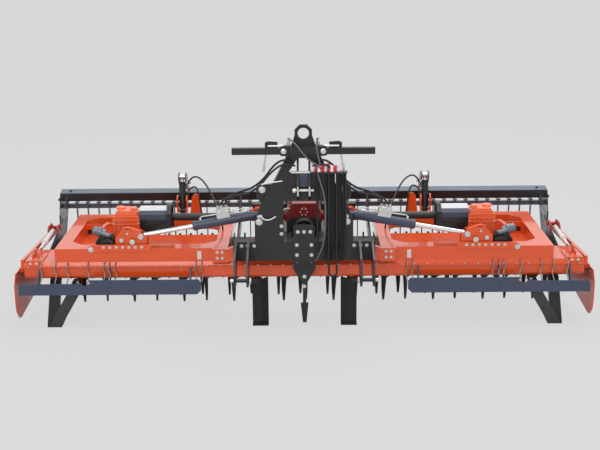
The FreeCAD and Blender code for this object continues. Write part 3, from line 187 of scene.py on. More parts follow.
def paint(name, colour, smooth, rough, dirt, metallic=0.0, coat=0.0, blotch_size=3.0,
          ripple=140.0, ripple_depth=0.0004):
    """A finish with settled dust and the fine ripple of sprayed paint, cast skin or drawn metal."""
    made = bpy.data.materials.new(name)
    made.use_nodes = True
    tree = made.node_tree
    surface = tree.nodes["Principled BSDF"]
    surface.inputs["Metallic"].default_value = metallic
    surface.inputs["Coat Weight"].default_value = coat
    surface.inputs["Coat Roughness"].default_value = 0.08
    surface.inputs["Coat IOR"].default_value = 1.4
    surface.inputs["Specular IOR Level"].default_value = 0.35
    layer = tree.nodes.new("ShaderNodeGroup")
    layer.node_tree = dust
    layer.inputs["Paint"].default_value = (*colour, 1)
    layer.inputs["Dust Amount"].default_value = dirt
    layer.inputs["Blotch Size"].default_value = blotch_size
    layer.inputs["Smooth"].default_value = smooth
    layer.inputs["Rough"].default_value = rough
    tree.links.new(layer.outputs["Colour"], surface.inputs["Base Color"])
    tree.links.new(layer.outputs["Roughness"], surface.inputs["Roughness"])
    where = tree.nodes.new("ShaderNodeTexCoord")
    grain = tree.nodes.new("ShaderNodeTexNoise")
    grain.inputs["Scale"].default_value = ripple
    grain.inputs["Detail"].default_value = 3
    tree.links.new(where.outputs["Object"], grain.inputs["Vector"])
    bump = tree.nodes.new("ShaderNodeBump")
    bump.inputs["Strength"].default_value = 0.5
    bump.inputs["Distance"].default_value = ripple_depth
    tree.links.new(grain.outputs["Fac"], bump.inputs["Height"])
    tree.links.new(bump.outputs["Normal"], surface.inputs["Normal"])
    return made


orange_paint = paint("orange_paint", (0.68, 0.070, 0.003), 0.25, 0.40, 0.08, coat=1.0)
zinc_bolt = paint("zinc_bolt", (0.62, 0.61, 0.58), 0.28, 0.5, 0.1, metallic=1.0, blotch_size=40, ripple=600)


def band(material, colour, low, high, axis="Z"):
    """Another colour of the same finish between two heights, or between two places along an axis."""
    tree = material.node_tree
    layer = [each for each in tree.nodes if each.type == "GROUP"][0]
    where = tree.nodes.new("ShaderNodeTexCoord")
    split = tree.nodes.new("ShaderNodeSeparateXYZ")
    tree.links.new(where.outputs["Object"], split.inputs["Vector"])
    inside = tree.nodes.new("ShaderNodeMath")
    inside.operation = "MULTIPLY"
    for number, (edge, side) in enumerate(((low, 0.001), (high, -0.001))):
        step = tree.nodes.new("ShaderNodeMapRange")
        step.inputs["From Min"].default_value = edge - side
        step.inputs["From Max"].default_value = edge + side
        tree.links.new(split.outputs[axis], step.inputs["Value"])
        tree.links.new(step.outputs["Result"], inside.inputs[number])
    swap = tree.nodes.new("ShaderNodeMix")
    swap.data_type = "RGBA"
    if layer.inputs["Paint"].is_linked:
        tree.links.new(layer.inputs["Paint"].links[0].from_socket, swap.inputs["A"])
    else:
        swap.inputs["A"].default_value = layer.inputs["Paint"].default_value
    swap.inputs["B"].default_value = (*colour, 1)
    tree.links.new(inside.outputs["Value"], swap.inputs["Factor"])
    tree.links.new(swap.outputs["Result"], layer.inputs["Paint"])


def dress(name, finish):
    """Gives a CAD node its finish."""
    mesh = nodes[name].data
    mesh.materials.clear()
    mesh.materials.append(finish)


bolt_tree = bpy.data.node_groups.new("bolt_heads", "GeometryNodeTree")
bolt_tree.interface.new_socket("Places", in_out="INPUT", socket_type="NodeSocketGeometry")
for name, kind, value in (("Head Radius", "NodeSocketFloat", 0.012),
                          ("Head Height", "NodeSocketFloat", 0.009),
                          ("Washer Radius", "NodeSocketFloat", 0.016)):
    bolt_tree.interface.new_socket(name, in_out="INPUT", socket_type=kind).default_value = value
bolt_tree.interface.new_socket("Finish", in_out="INPUT", socket_type="NodeSocketMaterial")
bolt_tree.interface.new_socket("Bolts", in_out="OUTPUT", socket_type="NodeSocketGeometry")
given = bolt_tree.nodes.new("NodeGroupInput")
result = bolt_tree.nodes.new("NodeGroupOutput")
lift = bolt_tree.nodes.new("ShaderNodeMath")
lift.operation = "MULTIPLY"
lift.inputs[1].default_value = 0.5
bolt_tree.links.new(given.outputs["Head Height"], lift.inputs[0])
lifted = bolt_tree.nodes.new("ShaderNodeCombineXYZ")
bolt_tree.links.new(lift.outputs["Value"], lifted.inputs["Z"])
head = bolt_tree.nodes.new("GeometryNodeMeshCylinder")
head.inputs["Vertices"].default_value = 6
bolt_tree.links.new(given.outputs["Head Radius"], head.inputs["Radius"])
bolt_tree.links.new(given.outputs["Head Height"], head.inputs["Depth"])
raised = bolt_tree.nodes.new("GeometryNodeTransform")
bolt_tree.links.new(head.outputs["Mesh"], raised.inputs["Geometry"])
bolt_tree.links.new(lifted.outputs["Vector"], raised.inputs["Translation"])
crown_radius = bolt_tree.nodes.new("ShaderNodeMath")
crown_radius.operation = "MULTIPLY"
crown_radius.inputs[1].default_value = 0.82
bolt_tree.links.new(given.outputs["Head Radius"], crown_radius.inputs[0])
crown = bolt_tree.nodes.new("GeometryNodeMeshCone")
crown.inputs["Vertices"].default_value = 12
crown.inputs["Depth"].default_value = 0.0015
bolt_tree.links.new(crown_radius.outputs["Value"], crown.inputs["Radius Top"])
bolt_tree.links.new(given.outputs["Head Radius"], crown.inputs["Radius Bottom"])
topped = bolt_tree.nodes.new("GeometryNodeTransform")
crown_place = bolt_tree.nodes.new("ShaderNodeCombineXYZ")
bolt_tree.links.new(given.outputs["Head Height"], crown_place.inputs["Z"])
bolt_tree.links.new(crown.outputs["Mesh"], topped.inputs["Geometry"])
bolt_tree.links.new(crown_place.outputs["Vector"], topped.inputs["Translation"])
washer = bolt_tree.nodes.new("GeometryNodeMeshCylinder")
washer.inputs["Vertices"].default_value = 14
washer.inputs["Depth"].default_value = 0.003
bolt_tree.links.new(given.outputs["Washer Radius"], washer.inputs["Radius"])
whole = bolt_tree.nodes.new("GeometryNodeJoinGeometry")
for part in (raised, topped):
    bolt_tree.links.new(part.outputs["Geometry"], whole.inputs["Geometry"])
bolt_tree.links.new(washer.outputs["Mesh"], whole.inputs["Geometry"])
outward = bolt_tree.nodes.new("GeometryNodeInputNamedAttribute")
outward.data_type = "FLOAT_VECTOR"
outward.inputs["Name"].default_value = "outward"
turned = bolt_tree.nodes.new("FunctionNodeAlignRotationToVector")
turned.axis = "Z"
bolt_tree.links.new(outward.outputs["Attribute"], turned.inputs["Vector"])
spread = bolt_tree.nodes.new("GeometryNodeInstanceOnPoints")
bolt_tree.links.new(given.outputs["Places"], spread.inputs["Points"])
bolt_tree.links.new(whole.outputs["Geometry"], spread.inputs["Instance"])
bolt_tree.links.new(turned.outputs["Rotation"], spread.inputs["Rotation"])
real = bolt_tree.nodes.new("GeometryNodeRealizeInstances")
bolt_tree.links.new(spread.outputs["Instances"], real.inputs["Geometry"])
finished = bolt_tree.nodes.new("GeometryNodeSetMaterial")
bolt_tree.links.new(real.outputs["Geometry"], finished.inputs["Geometry"])
bolt_tree.links.new(given.outputs["Finish"], finished.inputs["Material"])
bolt_tree.links.new(finished.outputs["Geometry"], result.inputs["Bolts"])


def bolt_heads(name, body, rows, radius=0.012, finish=None):
    """Hexagon heads with washers; each row is start, step, count and the way the heads point."""
    places = []
    ways = []
    for start, step, count, way in rows:
        for number in range(count):
            places.append(Vector(start) + number * Vector(step))
            ways.append(way)
    mesh = bpy.data.meshes.new(name + "_places")
    mesh.from_pydata(places, [], [])
    mark = mesh.attributes.new("outward", "FLOAT_VECTOR", "POINT")
    for number, way in enumerate(ways):
        mark.data[number].vector = way
    carrier = bpy.data.objects.new(name + "_places", mesh)
    bpy.context.scene.collection.objects.link(carrier)
    modifier = carrier.modifiers.new("bolt_heads", "NODES")
    modifier.node_group = bolt_tree
    values = {"Head Radius": radius, "Head Height": radius * 0.75, "Washer Radius": radius * 1.4,
              "Finish": finish or zinc_bolt}
    for item in bolt_tree.interface.items_tree:
        if item.in_out == "INPUT" and item.name in values:
            modifier[item.identifier] = values[item.name]
    view = bpy.context.evaluated_depsgraph_get()
    made = bpy.data.meshes.new_from_object(carrier.evaluated_get(view), depsgraph=view)
    bpy.data.objects.remove(carrier)
    made.name = name
    piece = bpy.data.objects.new(name, made)
    bpy.context.scene.collection.objects.link(piece)
    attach(piece, body)
    return piece


for side, way in SIDES:
    dress(f"trough_{side}", orange_paint)
    bolt_heads(f"trough_lid_bolts_{side}", f"wing_{side}", [
        (at(way * 0.08, back, LID_TOP), (way * LID_BOLT_STEP, 0, 0), 22, UP)
        for back in (-0.281, 0.241)], radius=0.008)
    bolt_heads(f"bearing_bolts_{side}", f"wing_{side}", [
        (at(rotor_place(way, number), back, 0.5045), ALONE, 1, DOWN)
        for number in range(1, 11) for back in (-0.11, 0.11)], radius=0.010)

# Rotors. Forged hubs and tine holders with two knife tines each, painted black; the tips are
# scoured bare by the soil, and two bolts clamp each tine to its holder.
black_paint = paint("black_paint", (0.017, 0.016, 0.016), 0.26, 0.45, 0.16, coat=0.15)
tine_steel = paint("tine_steel", (0.011, 0.011, 0.012), 0.3, 0.5, 0.1)
tree = tine_steel.node_tree
surface = tree.nodes["Principled BSDF"]
layer = [each for each in tree.nodes if each.type == "GROUP"][0]
where = tree.nodes.new("ShaderNodeTexCoord")
height = tree.nodes.new("ShaderNodeSeparateXYZ")
tree.links.new(where.outputs["Object"], height.inputs["Vector"])
low = tree.nodes.new("ShaderNodeMapRange")
low.inputs["From Min"].default_value = 0.27
low.inputs["From Max"].default_value = 0.20
tree.links.new(height.outputs["Z"], low.inputs["Value"])
scuff = tree.nodes.new("ShaderNodeTexNoise")
scuff.inputs["Scale"].default_value = 25
tree.links.new(where.outputs["Object"], scuff.inputs["Vector"])
bare = tree.nodes.new("ShaderNodeMath")
bare.operation = "MULTIPLY"
tree.links.new(low.outputs["Result"], bare.inputs[0])
tree.links.new(scuff.outputs["Fac"], bare.inputs[1])
worn = tree.nodes.new("ShaderNodeMix")
worn.data_type = "RGBA"
worn.inputs["B"].default_value = (0.12, 0.115, 0.11, 1)
tree.links.new(bare.outputs["Value"], worn.inputs["Factor"])
tree.links.new(layer.outputs["Colour"], worn.inputs["A"])
tree.links.new(worn.outputs["Result"], surface.inputs["Base Color"])
for side, way in SIDES:
    for number in range(1, 11):
        name = f"rotor_{side}_{number:02d}"
        dress(name, tine_steel)
        turn = math.radians(35 if (number + (side == "left")) % 2 else 55)
        rows = []
        for end in (1, -1):
            for offset in (-0.016, 0.016):
                along = Vector((end * 0.110, offset, 0))
                along.rotate(Matrix.Rotation(turn, 3, "Z"))
                rows.append((at(rotor_place(way, number) + along.x, along.y, 0.450), ALONE, 1, DOWN))
        bolt_heads(f"tine_bolts_{side}_{number:02d}", name, rows, radius=0.011)

# Wing frames. Rings of square steel tube welded and bolted on the troughs, sprayed orange,
# with bolted ears for the fold cylinder and a deck sheet inside.
FOLD_EYE = (1.60, 0.92)  # across and up, the pin that holds the fold cylinder's rod
FRAME_FRONT = -0.262


def extrude(shape, corners, way, chamfer=0.002):
    """A plate: flat corners in order, pushed along way, with its sharp rims taken off."""
    way = Vector(way)
    corners = [Vector(corner) for corner in corners]
    unit = way.normalized()
    count = len(corners)
    middle = sum(corners, Vector()) / count
    area = Vector()
    for number in range(count):
        area += (corners[number] - middle).cross(corners[(number + 1) % count] - middle)
    sense = 1 if area.dot(unit) > 0 else -1
    inset = []
    for number in range(count):
        before = (corners[number] - corners[number - 1]).normalized()
        after = (corners[(number + 1) % count] - corners[number]).normalized()
        inward = unit.cross(before) * sense + unit.cross(after) * sense
        size = max(inward.length_squared, 0.2)
        inset.append(corners[number] + inward * (2 * chamfer / size))
    rings = []
    for outline, step in ((inset, 0), (corners, chamfer),
                          (corners, way.length - chamfer), (inset, way.length)):
        rings.append([shape.verts.new(corner + unit * step) for corner in outline])
    for low, high in zip(rings, rings[1:]):
        for number in range(count):
            shape.faces.new((low[number], low[(number + 1) % count],
                             high[(number + 1) % count], high[number]))
    shape.faces.new(list(reversed(rings[0])))
    shape.faces.new(rings[-1])


def plate(shape, way, back, outline, depth, chamfer=0.002):
    """A plate that faces forward; its outline is (across, up), and way mirrors it to the left wing."""
    extrude(shape, [at(way * across, back, up) for across, up in outline], (0, depth, 0), chamfer)


def side_plate(shape, way, across, outline, depth, chamfer):
    """A plate that faces sideways; its outline is (back, up), and depth runs away from the middle."""
    extrude(shape, [at(way * across, back, up) for back, up in outline], (way * depth, 0, 0), chamfer)


def turn_shape(shape, start, way, profile, sides=24):
    """A turned piece: profile is (distance along way, radius), from its first end to its last."""
    unit = Vector(way).normalized()
    across = unit.orthogonal().normalized()
    other = unit.cross(across)
    rings = []
    for along, radius in profile:
        rings.append([shape.verts.new(Vector(start) + unit * along + radius * (
            across * math.cos(2 * math.pi * k / sides) + other * math.sin(2 * math.pi * k / sides)))
            for k in range(sides)])
    for low, high in zip(rings, rings[1:]):
        for k in range(sides):
            shape.faces.new((low[k], low[(k + 1) % sides], high[(k + 1) % sides], high[k]))
    shape.faces.new(list(reversed(rings[0])))
    shape.faces.new(rings[-1])


def finish_piece(shape, name, body, finish):
    """Makes the drawn shape a piece that rides on its body."""
    bmesh.ops.recalc_face_normals(shape, faces=shape.faces)
    mesh = bpy.data.meshes.new(name)
    shape.to_mesh(mesh)
    shape.free()
    for face in mesh.polygons:
        face.use_smooth = True
    mesh.set_sharp_from_angle(angle=math.radians(35))
    mesh.materials.append(finish)
    piece = bpy.data.objects.new(name, mesh)
    bpy.context.scene.collection.objects.link(piece)
    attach(piece, body)
    return piece


def bent_rod(name, routes, radius, body, finish, ends=None):
    """Smooth round rods or hoses, each along its own few points; given ends, whose points are not used, the
    piece rides on no body and keeps its place in its mesh.
    """
    curve = bpy.data.curves.new(name + "_route", "CURVE")
    curve.dimensions = "3D"
    curve.bevel_depth = radius
    curve.bevel_resolution = 3
    curve.resolution_u = 6
    curve.use_fill_caps = True
    for route in routes:
        spline = curve.splines.new("NURBS")
        spline.points.add(len(route) - 1)
        for point, corner in zip(spline.points, route):
            point.co = (*corner, 1)
        spline.order_u = 3
        spline.use_endpoint_u = True
    carrier = bpy.data.objects.new(name + "_route", curve)
    bpy.context.scene.collection.objects.link(carrier)
    view = bpy.context.evaluated_depsgraph_get()
    mesh = bpy.data.meshes.new_from_object(carrier.evaluated_get(view), depsgraph=view)
    bpy.data.objects.remove(carrier)
    mesh.materials.clear()
    mesh.materials.append(finish)
    for face in mesh.polygons:
        face.use_smooth = True
    mesh.name = name
    piece = bpy.data.objects.new(name, mesh)
    bpy.context.scene.collection.objects.link(piece)
    if ends:
        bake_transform(piece)
    else:
        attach(piece, body)
    return piece


cast_grey = paint("cast_grey", (0.16, 0.17, 0.19), 0.3, 0.5, 0.1, metallic=0.6, blotch_size=25)
pale_plate = paint("pale_plate", (0.62, 0.60, 0.57), 0.3, 0.45, 0.1)
for side, way in SIDES:
    dress(f"wing_frame_{side}", orange_paint)
    body = f"wing_{side}"
    bolt_heads(f"frame_bolts_{side}", body, [
        (at(way * 1.59, FRAME_FRONT, 0.822), (way * 0.0625, 0, 0), 7, FORWARD),
        (at(way * 0.80, -0.301, 0.775), (way * 0.05, 0, 0), 2, FORWARD),
        (at(way * 0.80, -0.301, 0.715), (way * 0.05, 0, 0), 2, FORWARD),
        (at(way * 1.18, 0.94, 0.806), (way * 0.045, 0, 0), 7, UP)], radius=0.011)
    shape = bmesh.new()
    for across, up, radius in ((*FOLD_EYE, 0.030), (1.79, 0.885, 0.022), (1.73, 0.955, 0.013)):
        turn_shape(shape, at(way * across, -0.2295, up), FORWARD,
                   [(0, radius), (0.012, radius), (0.016, radius * 0.85)], 20)
    turn_shape(shape, at(way * FOLD_EYE[0], -0.120, FOLD_EYE[1]), (0, 1, 0),
               [(0, 0.03), (0.012, 0.03), (0.016, 0.025)], 20)
    finish_piece(shape, f"ear_pins_{side}", body, zinc_bolt)
    shape = bmesh.new()
    plate(shape, way, -0.10, (
        (1.865, 0.806), (1.865, 0.880), (1.90, 0.925), (1.98, 0.935), (2.03, 0.895), (2.06, 0.845),
        (2.06, 0.806)), -0.07, 0.010)
    plate(shape, way, -0.185, (
        (1.875, 0.806), (1.875, 0.860), (1.93, 0.895), (1.99, 0.870), (2.01, 0.806)), -0.035, 0.006)
    finish_piece(shape, f"frame_clamp_{side}", body, black_paint)
    shape = bmesh.new()
    turn_shape(shape, at(way * 2.085, -0.13, 0.965), (-way, 0, -0.28),
               [(0, 0.030), (0.008, 0.044), (0.05, 0.046), (0.055, 0.052),
                (0.085, 0.052), (0.09, 0.040), (0.13, 0.036)], 16)
    turn_shape(shape, at(way * 2.00, -0.185, 0.95), (-way, 0, -0.35),
               [(0, 0.016), (0.02, 0.022), (0.09, 0.022), (0.10, 0.014)], 12)
    finish_piece(shape, f"clamp_motor_{side}", body, cast_grey)
    bent_rod(f"ear_rails_{side}", [
        [at(way * 1.79, -0.225, 0.93), at(way * 1.775, -0.225, 0.985), at(way * 1.74, -0.22, 1.02),
         at(way * 1.66, -0.22, 0.99), at(way * 1.60, -0.22, 0.975), at(way * 1.59, -0.225, 0.93)]],
        0.011, body, orange_paint)
    bent_rod(f"deck_tubes_{side}", [
        [at(way * 2.03, -0.09, 0.93), at(way * 2.02, 0.05, 0.935),
         at(way * 1.99, 0.28, 0.93), at(way * 1.93, 0.30, 0.86)]],
        0.020, body, orange_paint)
    shape = bmesh.new()
    plate(shape, way, -0.2515, (
        (1.50, 0.775), (2.11, 0.775), (2.11, 0.825), (2.07, 0.848), (1.50, 0.848)), -0.010)
    plate(shape, way, 0.665, ((1.93, 0.672), (2.33, 0.672), (2.33, 0.80), (1.93, 0.80)), 0.010)
    plate(shape, way, 0.925, (
        (1.09, 0.806), (1.236, 0.806), (1.205, 1.03), (1.185, 1.058), (1.165, 1.066), (1.145, 1.058),
        (1.125, 1.03)), 0.015)
    finish_piece(shape, f"frame_plates_{side}", body, orange_paint)
    # A black plate on the deck plate stands in for the dark gap under the rear tube: painted shade.
    shape = bmesh.new()
    plate(shape, way, 0.6645, (
        (2.165, 0.698), (2.30, 0.698), (2.30, 0.748), (2.165, 0.748)), -0.002, 0.0008)
    finish_piece(shape, f"painted_shade_slot_{side}", body, black_paint)
    bolt_heads(f"big_frame_bolts_{side}", body, [
        (at(way * 2.09, FRAME_FRONT, 0.80), ALONE, 1, FORWARD),
        (at(way * 1.68, FRAME_FRONT, 0.875), ALONE, 1, FORWARD)],
        radius=0.020)
    shape = bmesh.new()
    plate(shape, way, -0.2505, ((1.01, 0.69), (1.05, 0.69), (1.05, 0.775), (1.01, 0.775)), -0.003, 0.001)
    finish_piece(shape, f"bare_plate_{side}", body, pale_plate)

# Front boards. Long folded sheets in slate grey; round clips of spring steel come down from
# the flange of the trough and hold each board at its height.
slate_paint = paint("slate_paint", (0.045, 0.056, 0.095), 0.24, 0.42, 0.12, coat=0.2)
clip_steel = paint("clip_steel", (0.30, 0.29, 0.28), 0.3, 0.5, 0.1, metallic=0.9,
                   blotch_size=40, ripple=600)
BOARD_SPLIT = 2.1  # the inner board ends here, and the outer one hangs lower
for side, way in SIDES:
    dress(f"front_board_{side}", slate_paint)
    body = f"wing_{side}"
    routes = []
    for across in (1.00, 1.06, 1.85, 1.91, 1.96, 2.12, 2.32, 2.44, 2.58):
        low = 0.47 if across > BOARD_SPLIT else 0.50
        routes.append([at(way * across, -0.20, 0.672), at(way * across, -0.26, 0.668),
                       at(way * (across + 0.01), -0.300, 0.655), at(way * (across + 0.012), -0.302, 0.60),
                       at(way * (across - 0.01), -0.31, 0.55), at(way * across, -0.385, low + 0.02),
                       at(way * across, -0.394, low)])
    bent_rod(f"board_clips_{side}", routes, 0.006, body, clip_steel)
    shape = bmesh.new()
    plate(shape, way, -0.398, ((1.015, 0.506), (2.10, 0.506), (2.10, 0.532), (1.03, 0.532)), -0.006, 0.001)
    plate(shape, way, -0.398, ((2.16, 0.471), (2.78, 0.471), (2.78, 0.495), (2.17, 0.495)), -0.006, 0.001)
    finish_piece(shape, f"board_lips_{side}", body, slate_paint)
    bolt_heads(f"board_bolts_{side}", body, [
        (at(way * across, -0.4055, 0.452 if across < BOARD_SPLIT else 0.43), ALONE, 1, FORWARD)
        for across in (1.117, 1.907, 2.607)], radius=0.010, finish=slate_paint)

# Side deflectors. Thick plates in orange that keep the soil in, held out on a long arm with
# bolted brackets and an adjusting tube at the front.
inner_red = paint("red_bracket", (0.35, 0.015, 0.012), 0.3, 0.5, 0.2, coat=0.2)
for side, way in SIDES:
    dress(f"side_deflector_{side}", orange_paint)
    body = f"wing_{side}"
    shape = bmesh.new()
    side_plate(shape, way, 2.60, (
        (0.60, 0.70), (0.80, 0.72), (0.80, 0.765), (0.75, 0.80), (0.64, 0.80),
        (0.60, 0.775)), 0.016, 0.003)
    side_plate(shape, way, 2.69, (
        (0.58, 0.70), (0.80, 0.72), (0.80, 0.765), (0.75, 0.80), (0.62, 0.80),
        (0.58, 0.765)), 0.016, 0.003)
    turn_shape(shape, at(way * 2.59, 0.72, 0.76), (way, 0, 0),
               [(0, 0.020), (0.124, 0.020), (0.13, 0.016)], 14)
    finish_piece(shape, f"arm_brackets_{side}", body, inner_red)
    shape = bmesh.new()
    turn_shape(shape, at(way * 2.663, 0.66, 0.748), (0, -1, -0.05),
               [(0, 0.014), (0.02, 0.024), (0.36, 0.024), (0.365, 0.031),
                (0.42, 0.031), (0.425, 0.016), (0.66, 0.016)])
    finish_piece(shape, f"adjusting_tube_{side}", body, pale_plate)
    shape = bmesh.new()
    plate(shape, way, -0.255, ((2.58, 0.672), (2.745, 0.672), (2.745, 0.686), (2.58, 0.686)), 0.27, 0.002)
    for across in (2.63, 2.685):
        side_plate(shape, way, across, (
            (-0.16, 0.686), (0.02, 0.686), (0.02, 0.735), (-0.02, 0.757), (-0.07, 0.757),
            (-0.16, 0.72)), 0.012, 0.002)
    plate(shape, way, -0.262, ((2.60, 0.60), (2.72, 0.60), (2.72, 0.695), (2.60, 0.695)), -0.010, 0.002)
    finish_piece(shape, f"front_bracket_{side}", body, orange_paint)
    bolt_heads(f"deflector_bolts_{side}", body, [
        *((at(way * 2.8485, back, 0.53), (0, 0.05, 0), 2, (way, 0, 0)) for back in (-0.13, 0.52)),
        (at(way * 2.60, -0.20, 0.687), (way * 0.10, 0, 0), 2, UP),
        (at(way * 2.63, -0.2725, 0.665), (way * 0.06, 0, 0), 2, FORWARD)], radius=0.011)

# Packer rollers and their frames. A closed drum with toothed rings, a beam and side plates in
# slate and black with painted light, and a row of hard-faced scrapers on a bar behind the drum.
# Near black below, which is partly painted shade on the front of the beam. The slate top sheet above 0.9865
# m is painted lighter than the slate boards as a painted highlight of the sky.
roller_frame_paint_and_light = paint("roller_frame_paint_and_light", (0.014, 0.013, 0.014), 0.26, 0.45, 0.14, coat=0.2)
band(roller_frame_paint_and_light, (0.10, 0.125, 0.165), 0.9865, 2.0)
# A pale band from 0.768 to 0.832 m along the scraper bar is a painted highlight.
band(roller_frame_paint_and_light, (0.16, 0.16, 0.20), 0.768, 0.832)
drum_steel = paint("drum_steel", (0.03, 0.03, 0.032), 0.35, 0.6, 0.3, metallic=0.3, blotch_size=8)
RING_PITCH = 0.122
FIRST_RING = 0.18
for side, way in SIDES:
    dress(f"roller_{side}", drum_steel)
    dress(f"roller_frame_{side}", roller_frame_paint_and_light)
    body = f"wing_{side}"
    bolt_heads(f"roller_frame_bolts_{side}", body, [
        (at(way * 2.7105, 1.25, 0.93), (0, 0.05, 0), 4, (way, 0, 0)),
        *((at(way * 2.7105, 1.25, up), (0, 0.1, 0), 2, (way, 0, 0)) for up in (0.31, 0.21)),
        *((at(way * across, 1.36, 1.0035), ALONE, 1, (0, -0.16, 1)) for across in (2.60, 0.15))],
        radius=0.012, finish=black_paint)
    shape = bmesh.new()
    for number in range(20):
        across = FIRST_RING + RING_PITCH * (number + 0.5)
        side_plate(shape, way, across - 0.022, (
            (1.428, 0.845), (1.518, 0.845), (1.518, 0.853), (1.428, 0.853)), 0.044, 0.001)
    finish_piece(shape, f"scraper_clamps_{side}", body, black_paint)

# Depth cylinders. Short hydraulic cylinders between round-topped posts, black barrel and
# bright rod, which set how high the roller runs.
bright_rod = paint("bright_rod", (0.82, 0.82, 0.83), 0.08, 0.18, 0.04, metallic=1.0,
                   blotch_size=20, ripple=400)
DEPTH_FOOT = (1.315, 0.985, 0.87)
DEPTH_HEAD = (1.315, 1.06, 1.225)
for side, way in SIDES:
    dress(f"depth_barrel_{side}", black_paint)
    dress(f"depth_rod_{side}", bright_rod)
    body = f"wing_{side}"
    shape = bmesh.new()
    for above, radius in ((0.285, 0.043), (0.06, 0.041)):
        foot = at(way * DEPTH_FOOT[0], *DEPTH_FOOT[1:])
        axis = (at(way * DEPTH_HEAD[0], *DEPTH_HEAD[1:]) - foot).normalized()
        turn_shape(shape, foot + axis * above, axis, [
            (0, radius - 0.004), (0.003, radius), (0.022, radius), (0.025, radius - 0.006)], 20)
    finish_piece(shape, f"depth_collars_{side}", body, black_paint)
    shape = bmesh.new()
    for up in (1.08, 1.16):
        turn_shape(shape, at(way * 1.28, 0.995 + (up - DEPTH_FOOT[2]) * 0.15, up), (-way, -0.3, 0.1), [
            (0, 0.016), (0.03, 0.016), (0.034, 0.010), (0.06, 0.010)], 12)
    finish_piece(shape, f"depth_fittings_{side}", body, zinc_bolt)

# Wing gearboxes and shaft guards. Ribbed iron castings sprayed orange, and a folded sheet hood
# in slate, near black low down and with a painted reflection on its top, with a black bell at its mouth
# over the drive shaft's joint.
black_plastic = paint("black_plastic", (0.016, 0.016, 0.018), 0.4, 0.6, 0.2)
guard_paint_and_reflection = paint("guard_paint_and_reflection", (0.040, 0.047, 0.080), 0.24, 0.42, 0.12, coat=0.2)
# Near black below 1.03 m. Above 1.115 m the top of the hood is pale grey, a painted reflection of the sky.
band(guard_paint_and_reflection, (0.012, 0.012, 0.012), 0.0, 1.03)
band(guard_paint_and_reflection, (0.62, 0.62, 0.63), 1.115, 2.0)
cast_orange = paint("cast_orange", (0.80, 0.13, 0.035), 0.3, 0.5, 0.1, coat=0.6,
                    ripple=60, ripple_depth=0.001)
GUARD_MOUTH = 1.322  # how far across the hood opens
for side, way in SIDES:
    dress(f"wing_gearbox_{side}", cast_orange)
    dress(f"shaft_guard_{side}", guard_paint_and_reflection)
    body = f"wing_{side}"
    shape = bmesh.new()
    turn_shape(shape, at(way * 1.70, 0.06, 1.119), UP, [(0, 0.036), (0.018, 0.036), (0.026, 0.028)], 20)
    turn_shape(shape, at(way * 1.84, 0.12, 1.119), UP, [(0, 0.05), (0.012, 0.05), (0.02, 0.04)], 24)
    for up in (0.98, 1.02, 1.06):
        plate(shape, way, -0.013, (
            (1.642, up), (1.908, up), (1.908, up + 0.012), (1.642, up + 0.012)), -0.008)
    finish_piece(shape, f"gearbox_caps_{side}", body, cast_orange)
    mouth = [(0.0, 0.90), (0.0, 1.08), (0.06, 1.14), (0.14, 1.14), (0.20, 1.08), (0.20, 0.90)]
    rim = [(-0.022, 0.90), (-0.022, 1.092), (0.050, 1.165), (0.150, 1.165), (0.222, 1.092), (0.222, 0.90)]
    shape = bmesh.new()
    for number in range(5):
        side_plate(shape, way, GUARD_MOUTH, (
            mouth[number], rim[number], rim[number + 1], mouth[number + 1]), 0.045, 0.001)
    finish_piece(shape, f"guard_rim_{side}", body, black_plastic)
    bolt_heads(f"gearbox_bolts_{side}", body, [
        *((at(way * across, -0.001, 0.72), (0, 0, 0.09), 4, FORWARD) for across in (1.655, 1.895)),
        (at(way * 1.70, 0.06, 1.145), ALONE, 1, UP)], radius=0.010)

# Centre frame. Welded beams and a mast of thick plate, painted black, with a closing plate
# behind the top link ears, turned pins with their heads, painted highlights on the ears' front edges, and
# rows of zinc-plated bolts.
FOLD_BASE = (0.43, 1.125)  # across and up, the pin that holds the fold cylinder's barrel
MAST_FRONT = -0.481
PLATE_FRONT = -0.491
for name in ("centre_frame", "hose_rack"):
    dress(name, black_paint)
shape = bmesh.new()
plate(shape, 1, -0.47, ((-0.205, 1.412), (0.205, 1.412), (0.155, 1.61), (-0.155, 1.61)), 0.012)
plate(shape, 1, -0.115, (
    (-0.17, 0.865), (0.17, 0.865), (0.17, 1.035), (0.12, 1.075), (-0.12, 1.075), (-0.17, 1.035)), 0.010)
plate(shape, 1, -0.482, (
    (-0.105, 0.74), (0.105, 0.74), (0.105, 1.075), (0.075, 1.10), (-0.075, 1.10), (-0.105, 1.075)), -0.008)
for way in (1, -1):
    plate(shape, way, -0.485, (
        (0.24, 1.84), (0.36, 1.84), (0.36, 1.90), (0.33, 1.912), (0.24, 1.905)), -0.022)
    plate(shape, way, -0.482, (
        (0.13, 1.77), (0.215, 1.78), (0.235, 1.83), (0.20, 1.875), (0.13, 1.875)), -0.056, 0.004)
finish_piece(shape, "mast_plates", "frame", black_paint)
shape = bmesh.new()
plate(shape, 1, -0.495, ((-0.04, 1.47), (0.04, 1.47), (0.04, 1.605), (-0.04, 1.605)), 0.012)
finish_piece(shape, "top_link_stop", "frame", slate_paint)
shape = bmesh.new()
